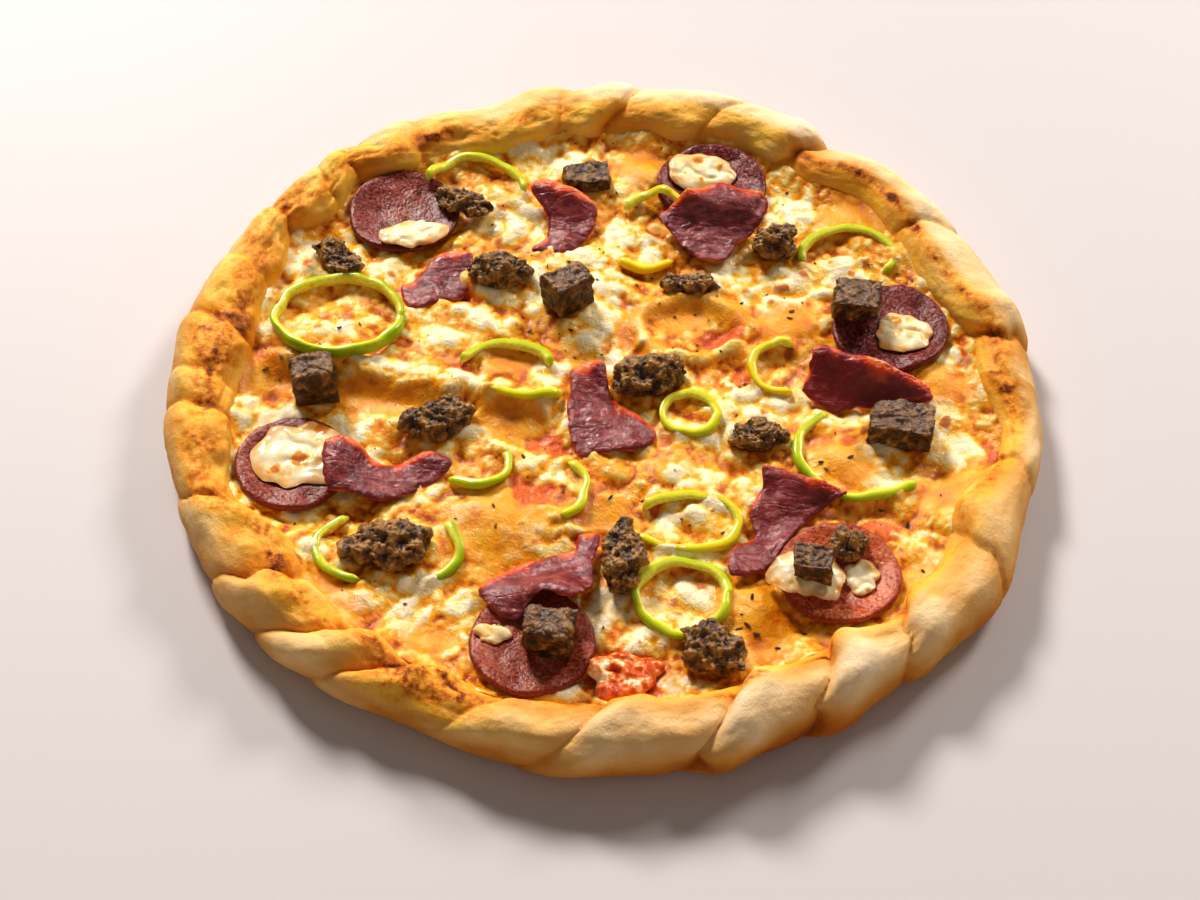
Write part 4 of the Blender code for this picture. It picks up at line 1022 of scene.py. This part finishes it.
def meat_material(props):
    """Pan roasted beef: dark crusted outside, tan and grey where it was cut, with a film of fat; lighter
    crumbs and chunk tops are partly painted highlight and sheen, darker cracks partly painted shade.
    """
    mat, add, place = new_material("Roast beef")
    crumb = add("TexNoise", {"Vector": place, "Scale": 1 / (3.0 * MM), "Detail": 5.0, "Roughness": 0.65})
    fine = add("TexNoise", {"Vector": place, "Scale": 1 / (0.9 * MM), "Detail": 3.0, "Roughness": 0.6})
    cut, pit = (add("Attribute", {"attribute_name": name}, "Fac") for name in ("cut", "pit"))
    # Lighter towards tan on raised crumbs, darker in cracks: partly the meat's own tan bits, partly painted
    # highlight and painted shade.
    tone = add("Math", {0: pit, 1: 0.35, 2: crumb})
    tone = add("Math", {0: cut, 1: 0.10, 2: tone})
    colour = add("ValToRGB", {"Fac": tone, "stops": (
        (0.36, "#24160A"), (0.52, props.meat_dark), (0.70, props.meat_brown), (0.88, props.meat_tan_and_highlight))})
    grey = add("ValToRGB", {"Fac": fine, "stops": ((0.35, "#4C3220"), (0.65, props.meat_cut_and_sheen))})
    # Grey and lighter on the tops of square chunks: partly cut faces, partly painted top sheen.
    share = add("MapRange", {"Value": cut, "From Min": 0.5, "From Max": 0.9, "To Max": 0.45})
    colour = add("Mix", {0: share, 6: colour, 7: grey}, 2)
    rough = add("MapRange", {"Value": fine, "From Min": 0.3, "From Max": 0.7, "To Min": 0.20,
                             "To Max": 0.42})
    return close_material(mat, add, ((crumb, 1.2, 0.6), (fine, 0.5, 0.7)), {
        "Base Color": colour, "Roughness": rough, "IOR": 1.46, "Specular IOR Level": 0.7})


def make_meat(props, mat):
    count = sum(1 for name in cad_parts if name.startswith("meat_"))
    for number in range(1, count + 1):
        name = f"meat_{number}"
        bm = bmesh.new()
        bm.from_mesh(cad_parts[name].data)
        bmesh.ops.remove_doubles(bm, verts=bm.verts, dist=1e-6)
        bmesh.ops.triangulate(bm, faces=bm.faces)
        while len(bm.faces) < props.meat_faces:
            bmesh.ops.subdivide_edges(bm, edges=bm.edges, cuts=1, use_grid_fill=True)
        square = number in CUT_MEAT
        for _ in range(4 if square else 10):
            bmesh.ops.smooth_vert(bm, verts=bm.verts, factor=0.5, use_axis_x=True, use_axis_y=True,
                                  use_axis_z=True)
        bm.normal_update()
        low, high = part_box(name)
        cut, pits, moves = [], [], []
        for vert in bm.verts:
            spot = vert.co / MM + Vector((number * 31.0, 0.0, 0.0))
            share = (vert.co.z - low[2]) / (high[2] - low[2])
            big = noise.fractal(spot / 8.5, 1.0, 2.0, 2)
            rough = noise.fractal(spot / 3.8, 0.8, 2.1, 4)
            crack = math.exp(-(noise.noise(spot / 5.5) / 0.06) ** 2)
            if square:
                push = 1.0 * big + 0.8 * rough - 0.4 * crack
            else:
                push = 2.4 * big + 1.7 * rough - 0.4 * crack
            moves.append(vert.normal * push * props.meat_rough * min(1.0, share * 3))
            # Upward faces on the upper part of square chunks: partly cut faces, partly painted top sheen.
            cut.append(float(max(0.0, vert.normal.z) * step((share - 0.45) / 0.3)) if square else 0.0)
            # Follows the relief: lighter on raised crumbs, darker in cracks, partly the meat's own colour,
            # partly painted highlight and shade.
            pits.append(min(max((0.4 if square else 0.75) + 0.7 * rough - 0.3 * crack, 0.0), 1.3))
        for vert, move in zip(bm.verts, moves):
            vert.co += move
        points = [v.co / MM for v in bm.verts]
        faces = [[v.index for v in f.verts] for f in bm.faces]
        bm.free()
        add_piece(f"roast_meat_{number}", points, faces, mat, [name], {"cut": cut, "pit": pits})


# Herbs


def herb_material():
    """Dried oregano: dull, brittle, olive to brown."""
    mat, add, place = new_material("Dried oregano")
    tone = add("TexNoise", {"Vector": place, "Scale": 1 / (5 * MM), "Detail": 2.0})
    colour = add("ValToRGB", {"Fac": tone, "stops": ((0.35, "#3A2410"), (0.6, "#6B4A1C"))})
    return close_material(mat, add, (), {
        "Base Color": colour, "Roughness": 0.7, "Specular IOR Level": 0.2})


def flake_places(props):
    """Named flakes first, then a seeded scatter that keeps off the toppings."""
    draw = random.Random(props.seed)
    toppings = ("ham", "meat", "salami", "tomato")
    covered = [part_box(name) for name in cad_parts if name.split("_")[0] in toppings]
    places = list(HERBS)
    while len(places) < props.flakes:
        turn, reach = draw.uniform(0, 2 * math.pi), FLAKE_REACH * math.sqrt(draw.random())
        x, y = reach * math.cos(turn), reach * math.sin(turn)
        if not any(a[0] < x * MM < b[0] and a[1] < y * MM < b[1] for a, b in covered):
            places.append((x, y))
    return places, draw


def make_flakes(props, mat):
    places, draw = flake_places(props)
    xs, ys = np.array([p[0] for p in places], float), np.array([p[1] for p in places], float)
    heights = cheese_top(xs, ys, props)[0]
    points, faces = [], []
    for i, (x, y, z) in enumerate(zip(xs, ys, heights)):
        length = draw.uniform(1.8, 3.2) if i < len(HERBS) else draw.uniform(0.6, 1.7)
        width, turn = length * draw.uniform(0.35, 0.6), draw.uniform(0, 6.28)
        curl, tilt = draw.uniform(0.1, 0.5), draw.uniform(-0.15, 0.25)
        first = len(points)
        outline = [(math.cos(a), math.sin(a) * (1.0 + 0.3 * draw.uniform(-1, 1))) for a in
                   (0, 0.9, 1.9, 3.14, 4.2, 5.3)]
        for level in (0.28, 0.0):
            for u, v in outline:
                px, py = u * length / 2, v * width / 2
                rise = curl * (u * u - 0.3) + tilt * px
                points.append((x + px * math.cos(turn) - py * math.sin(turn),
                               y + px * math.sin(turn) + py * math.cos(turn), z + 0.1 + rise + level))
        faces.append(tuple(first + k for k in range(6)))
        faces.append(tuple(first + 6 + k for k in range(5, -1, -1)))
        for k in range(6):
            j = (k + 1) % 6
            faces.append((first + j, first + k, first + 6 + k, first + 6 + j))
    piece = add_piece("herb_flakes", points, faces, mat, [])
    piece.data.polygons.foreach_set("use_smooth", [False] * len(piece.data.polygons))


# Settings that a user would change


def size_setting(name, about, millimetres):
    return FloatProperty(name=name, description=about, default=millimetres * MM, unit="LENGTH", precision=5)


def colour_setting(name, about, code):
    return StringProperty(name=name, description=about, default=code)


def power_setting(name, about, watts):
    return FloatProperty(name=name, description=about, default=watts, unit="POWER")


def place_setting(name, about, place):
    return FloatVectorProperty(name=name, description=about, default=place, subtype="TRANSLATION")


class PizzaCrustSettings(bpy.types.PropertyGroup):
    columns: IntProperty(name="Columns", description="Points round the crust", default=900, min=60)
    rows: IntProperty(name="Rows", description="Points across the crust", default=84, min=16)
    crust_tan: colour_setting("Tan crust", "Evenly baked crust", "#EEBE78")
    crust_gold: colour_setting("Golden crust", "Crust where fat ran", "#FFCE50")
    crust_toast: colour_setting("Toasted crust", "Toasted ridges", "#C67016")
    crust_dark: colour_setting("Dark spots", "Darkest spots", "#78380A")


class PizzaCheeseSettings(bpy.types.PropertyGroup):
    grid: IntProperty(name="Grid", description="Points along each side of the sheet", default=304, min=40)
    white_rise: size_setting("White rise", "How far white cheese stands proud", 0.8)
    puff: size_setting("Puffs", "Height of the soft lumps", 1.3)
    curd: size_setting("Curds", "Height of the curdled cheese", 0.7)
    climb: size_setting("Climb", "How far cheese climbs what lies on it", 2.6)
    amber: colour_setting("Amber", "Deepest oily cheese", "#BC600A")
    orange: colour_setting("Orange", "Deep melted cheese", "#E0800E")
    gold: colour_setting("Gold", "Oily melted cheese", "#FAA81C")
    cream: colour_setting("Cream", "Cheese that pooled", "#FFDC82")
    milk: colour_setting("White", "Whitest cheese", "#FFF0CE")
    brown: colour_setting("Brown", "Browned blisters", "#C06610")
    fleck: colour_setting("Flecks", "Oily red flecks", "#CC6A14")
    flakes: IntProperty(name="Flakes", description="How many herb flakes lie on the cheese", default=150)
    seed: IntProperty(name="Seed", description="Seed of the scatter", default=7)


class PizzaToppingSettings(bpy.types.PropertyGroup):
    salami_thick: size_setting("Salami", "Thickness of a slice", 2.4)
    salami_lean: colour_setting("Salami lean", "Lean meat", "#70262A")
    salami_dark: colour_setting("Salami dark", "Darker lean meat", "#461210")
    salami_fat: colour_setting("Salami fat", "Ground fat", "#C08678")
    salami_brick: colour_setting("Salami brick", "Redder slices", "#CC6438")
    salami_casing: colour_setting("Salami casing", "Edge of a slice", "#7E2620")
    pool_thick: size_setting("Pools", "Thickness of pooled cheese", 1.5)
    sauce_thick: size_setting("Sauce", "Thickness of the chopped tomato", 3.0)
    ham_thick: size_setting("Ham", "Thickness of a slice", 1.0)
    ham_mesh: size_setting("Ham mesh", "Spacing of the mesh", 0.95)
    ham_edge_width: size_setting("Ham edge", "How far the edge colour reaches", 1.2)
    ham_dark: colour_setting("Ham dark", "Darkest lean", "#4A1214")
    ham_lean: colour_setting("Ham lean", "Common lean", "#84303A")
    ham_pale: colour_setting("Ham pale", "Pale fibres", "#BE6E64")
    ham_deep: colour_setting("Ham deep red", "Redder slices", "#86180A")
    # Thin edges of the ham, also the base of the painted backlight glow on edges that face the back.
    ham_edge: colour_setting("Ham edge colour", "Thin edges", "#DC4A1A")
    pepper_wide: size_setting("Pepper", "Width of the wall", 3.3)
    pepper_green: colour_setting("Pepper green", "Skin", "#BED01C")
    pepper_yellow: colour_setting("Pepper yellow", "Yellower skin", "#F4D018")
    meat_rough: size_setting("Meat", "Depth of the crumbs", 1.0)
    meat_faces: IntProperty(name="Meat mesh", description="Least faces in a chunk", default=9000)
    meat_dark: colour_setting("Meat dark", "Crusted outside", "#382008")
    meat_brown: colour_setting("Meat brown", "Common brown", "#684212")
    # Tan bits, also painted highlight on raised crumbs.
    meat_tan_and_highlight: colour_setting("Meat tan", "Tan bits", "#B08038")
    # Cut faces, also painted top sheen on square chunks.
    meat_cut_and_sheen: colour_setting("Meat cut", "Cut faces", "#7A5236")


class PizzaStageSettings(bpy.types.PropertyGroup):
    lens: FloatProperty(name="Lens", description="Focal length, mm", default=60.0)
    eye: place_setting("Eye", "Camera place", (-0.00075, -0.4829, 0.5948))
    aim: place_setting("Aim", "Point looked at", (-0.00075, -0.0213, 0.0))
    key_power: power_setting("Key", "Power of the window", 160.0)
    side_power: power_setting("Side", "Power of the side window", 71.0)
    fill_power: power_setting("Fill", "Power of the front fill", 8.0)
    sky: FloatProperty(name="Sky", description="Strength of the room's light", default=0.18)
    gamma: FloatProperty(name="Gamma", description="Contrast of the print", default=0.86)
    floor_colour: colour_setting("Floor", "Colour of the floor", "#D8D5D9")


class PIZZA_OT_crust(bpy.types.Operator):
    """Roll the crust and bake it"""
    bl_idname = "pizza.crust"
    bl_label = "Crust"

    def execute(self, context):
        make_crust(context.scene.pizza_crust)
        return {"FINISHED"}


class PIZZA_OT_cheese(bpy.types.Operator):
    """Melt the cheese over the base"""
    bl_idname = "pizza.cheese"
    bl_label = "Cheese"

    def execute(self, context):
        make_cheese(context.scene.pizza_cheese)
        return {"FINISHED"}


class PIZZA_OT_salami(bpy.types.Operator):
    """Lay the slices of salami"""
    bl_idname = "pizza.salami"
    bl_label = "Salami"

    def execute(self, context):
        props = context.scene.pizza_toppings
        mat = salami_material(props)

        def top(share, x, y):
            edge = math.sqrt(max(0.0, 1.0 - (max(share - 0.94, 0.0) / 0.06) ** 2))
            return (0.35 + 0.65 * edge) * (1.0 + 0.16 * grain(x, y, 8.0, 401, 2))

        for number, red in enumerate(SALAMI_RED, start=1):
            make_disc(f"salami_slice_{number}", f"salami_{number}", mat,
                      props.salami_thick / MM, (22, 130), (0.012, 4.0), 500 + number, top, {"red": red})
        return {"FINISHED"}


class PIZZA_OT_pools(bpy.types.Operator):
    """Pour the pools of white cheese on the salami"""
    bl_idname = "pizza.pools"
    bl_label = "Cheese pools"

    def execute(self, context):
        props = context.scene.pizza_toppings
        mat = pool_material(context.scene.pizza_cheese)
        names = [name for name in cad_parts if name.startswith("cheese_pool_")]

        def top(share, x, y):
            lumps = 0.65 + 1.1 * np.abs(grain(x, y, 6.5, 411, 2))
            return 0.08 + 0.92 * (1.0 - share ** 3) ** 0.6 * np.minimum(lumps, 1.4)

        for number in range(1, len(names) + 1):
            make_disc(f"white_pool_{number}", f"cheese_pool_{number}", mat,
                      props.pool_thick / MM, (16, 100), (0.16, 9.0), 520 + number, top, {})
        return {"FINISHED"}


class PIZZA_OT_sauce(bpy.types.Operator):
    """Spoon the chopped tomato"""
    bl_idname = "pizza.sauce"
    bl_label = "Tomato"

    def execute(self, context):
        props = context.scene.pizza_toppings

        def top(share, x, y):
            lumps = 0.75 + 0.6 * np.abs(grain(x, y, 5.0, 421, 2))
            return 0.10 + 0.90 * (1.0 - share ** 4) ** 0.5 * lumps

        make_disc("chopped_tomato", "tomato_sauce", sauce_material(),
                  props.sauce_thick / MM, (20, 100), (0.14, 7.0), 540, top, {})
        return {"FINISHED"}


class PIZZA_OT_ham(bpy.types.Operator):
    """Drape the slices of cured ham"""
    bl_idname = "pizza.ham"
    bl_label = "Ham"

    def execute(self, context):
        props = context.scene.pizza_toppings
        make_ham(props, ham_material(props))
        return {"FINISHED"}


class PIZZA_OT_pepper(bpy.types.Operator):
    """Lay the rings and strips of pepper"""
    bl_idname = "pizza.pepper"
    bl_label = "Pepper"

    def execute(self, context):
        props = context.scene.pizza_toppings
        make_peppers(props, pepper_material(props))
        return {"FINISHED"}


class PIZZA_OT_meat(bpy.types.Operator):
    """Crumble the chunks of roast meat"""
    bl_idname = "pizza.meat"
    bl_label = "Roast meat"

    def execute(self, context):
        props = context.scene.pizza_toppings
        make_meat(props, meat_material(props))
        return {"FINISHED"}


class PIZZA_OT_herbs(bpy.types.Operator):
    """Scatter dried herb flakes on the cheese"""
    bl_idname = "pizza.herbs"
    bl_label = "Herbs"

    def execute(self, context):
        make_flakes(context.scene.pizza_cheese, herb_material())
        return {"FINISHED"}


class PIZZA_OT_stage(bpy.types.Operator):
    """Set the floor, the lights and the camera"""
    bl_idname = "pizza.stage"
    bl_label = "Stage"

    def execute(self, context):
        props = context.scene.pizza_stage
        scene = context.scene
        scene.view_settings.view_transform = "Standard"
        scene.view_settings.gamma = props.gamma
        bpy.ops.mesh.primitive_plane_add(size=FLOOR_SIZE, location=(0.0, 0.0, -FLOOR_GAP))
        floor = context.object
        floor.name = "floor"
        mat, add, _ = new_material("Matt studio floor")
        close_material(mat, add, (), {"Base Color": props.floor_colour, "Roughness": 0.6})
        floor.data.materials.append(mat)
        world = bpy.data.worlds.new("Soft room")
        world.use_nodes = True
        sky = world.node_tree.nodes["Background"]
        sky.inputs["Color"].default_value = linear("#FFF4EA")
        sky.inputs["Strength"].default_value = props.sky
        scene.world = world
        for name, place, size, power, colour in LAMPS:
            self.lamp(name, place, size, getattr(props, power), colour)
        camera = bpy.data.cameras.new("camera")
        camera.lens = props.lens
        camera.sensor_width = SENSOR_WIDTH
        holder = bpy.data.objects.new("camera", camera)
        scene.collection.objects.link(holder)
        holder.location = props.eye
        ahead = Vector(props.aim) - Vector(props.eye)
        holder.rotation_euler = ahead.to_track_quat("-Z", "Y").to_euler()
        scene.camera = holder
        return {"FINISHED"}

    def lamp(self, name, place, size, power, colour):
        light = bpy.data.lights.new(name, "AREA")
        light.shape = "DISK"
        light.size = size
        light.energy = power
        light.color = linear(colour)[:3]
        holder = bpy.data.objects.new(name, light)
        bpy.context.scene.collection.objects.link(holder)
        holder.location = place
        holder.rotation_euler = (-Vector(place)).to_track_quat("-Z", "Y").to_euler()


class PIZZA_PT_panel(bpy.types.Panel):
    bl_label = "Pizza"
    bl_idname = "PIZZA_PT_panel"
    bl_space_type = "VIEW_3D"
    bl_region_type = "UI"
    bl_category = "Pizza"

    def draw(self, context):
        for operator in OPERATORS:
            self.layout.operator(operator.bl_idname)
        for name, _ in SETTINGS:
            box = self.layout.box()
            props = getattr(context.scene, name)
            for key in props.bl_rna.properties.keys():
                if key not in ("rna_type", "name"):
                    box.prop(props, key)


SETTINGS = (("pizza_crust", PizzaCrustSettings), ("pizza_cheese", PizzaCheeseSettings),
            ("pizza_toppings", PizzaToppingSettings), ("pizza_stage", PizzaStageSettings))
OPERATORS = (PIZZA_OT_stage, PIZZA_OT_crust, PIZZA_OT_cheese, PIZZA_OT_salami, PIZZA_OT_pools,
             PIZZA_OT_sauce, PIZZA_OT_pepper, PIZZA_OT_ham, PIZZA_OT_meat, PIZZA_OT_herbs)


def register():
    for name, group in SETTINGS:
        bpy.utils.register_class(group)
        setattr(bpy.types.Scene, name, PointerProperty(type=group))
    for operator in OPERATORS:
        bpy.utils.register_class(operator)
    bpy.utils.register_class(PIZZA_PT_panel)


def unregister():
    bpy.utils.unregister_class(PIZZA_PT_panel)
    for operator in reversed(OPERATORS):
        bpy.utils.unregister_class(operator)
    for name, group in reversed(SETTINGS):
        delattr(bpy.types.Scene, name)
        bpy.utils.unregister_class(group)


def main():
    register()
    bpy.ops.pizza.stage()
    bpy.ops.pizza.crust()
    bpy.ops.pizza.cheese()
    bpy.ops.pizza.salami()
    bpy.ops.pizza.pools()
    bpy.ops.pizza.sauce()
    bpy.ops.pizza.pepper()
    bpy.ops.pizza.ham()
    bpy.ops.pizza.meat()
    bpy.ops.pizza.herbs()


if __name__ == "__main__":
    main()
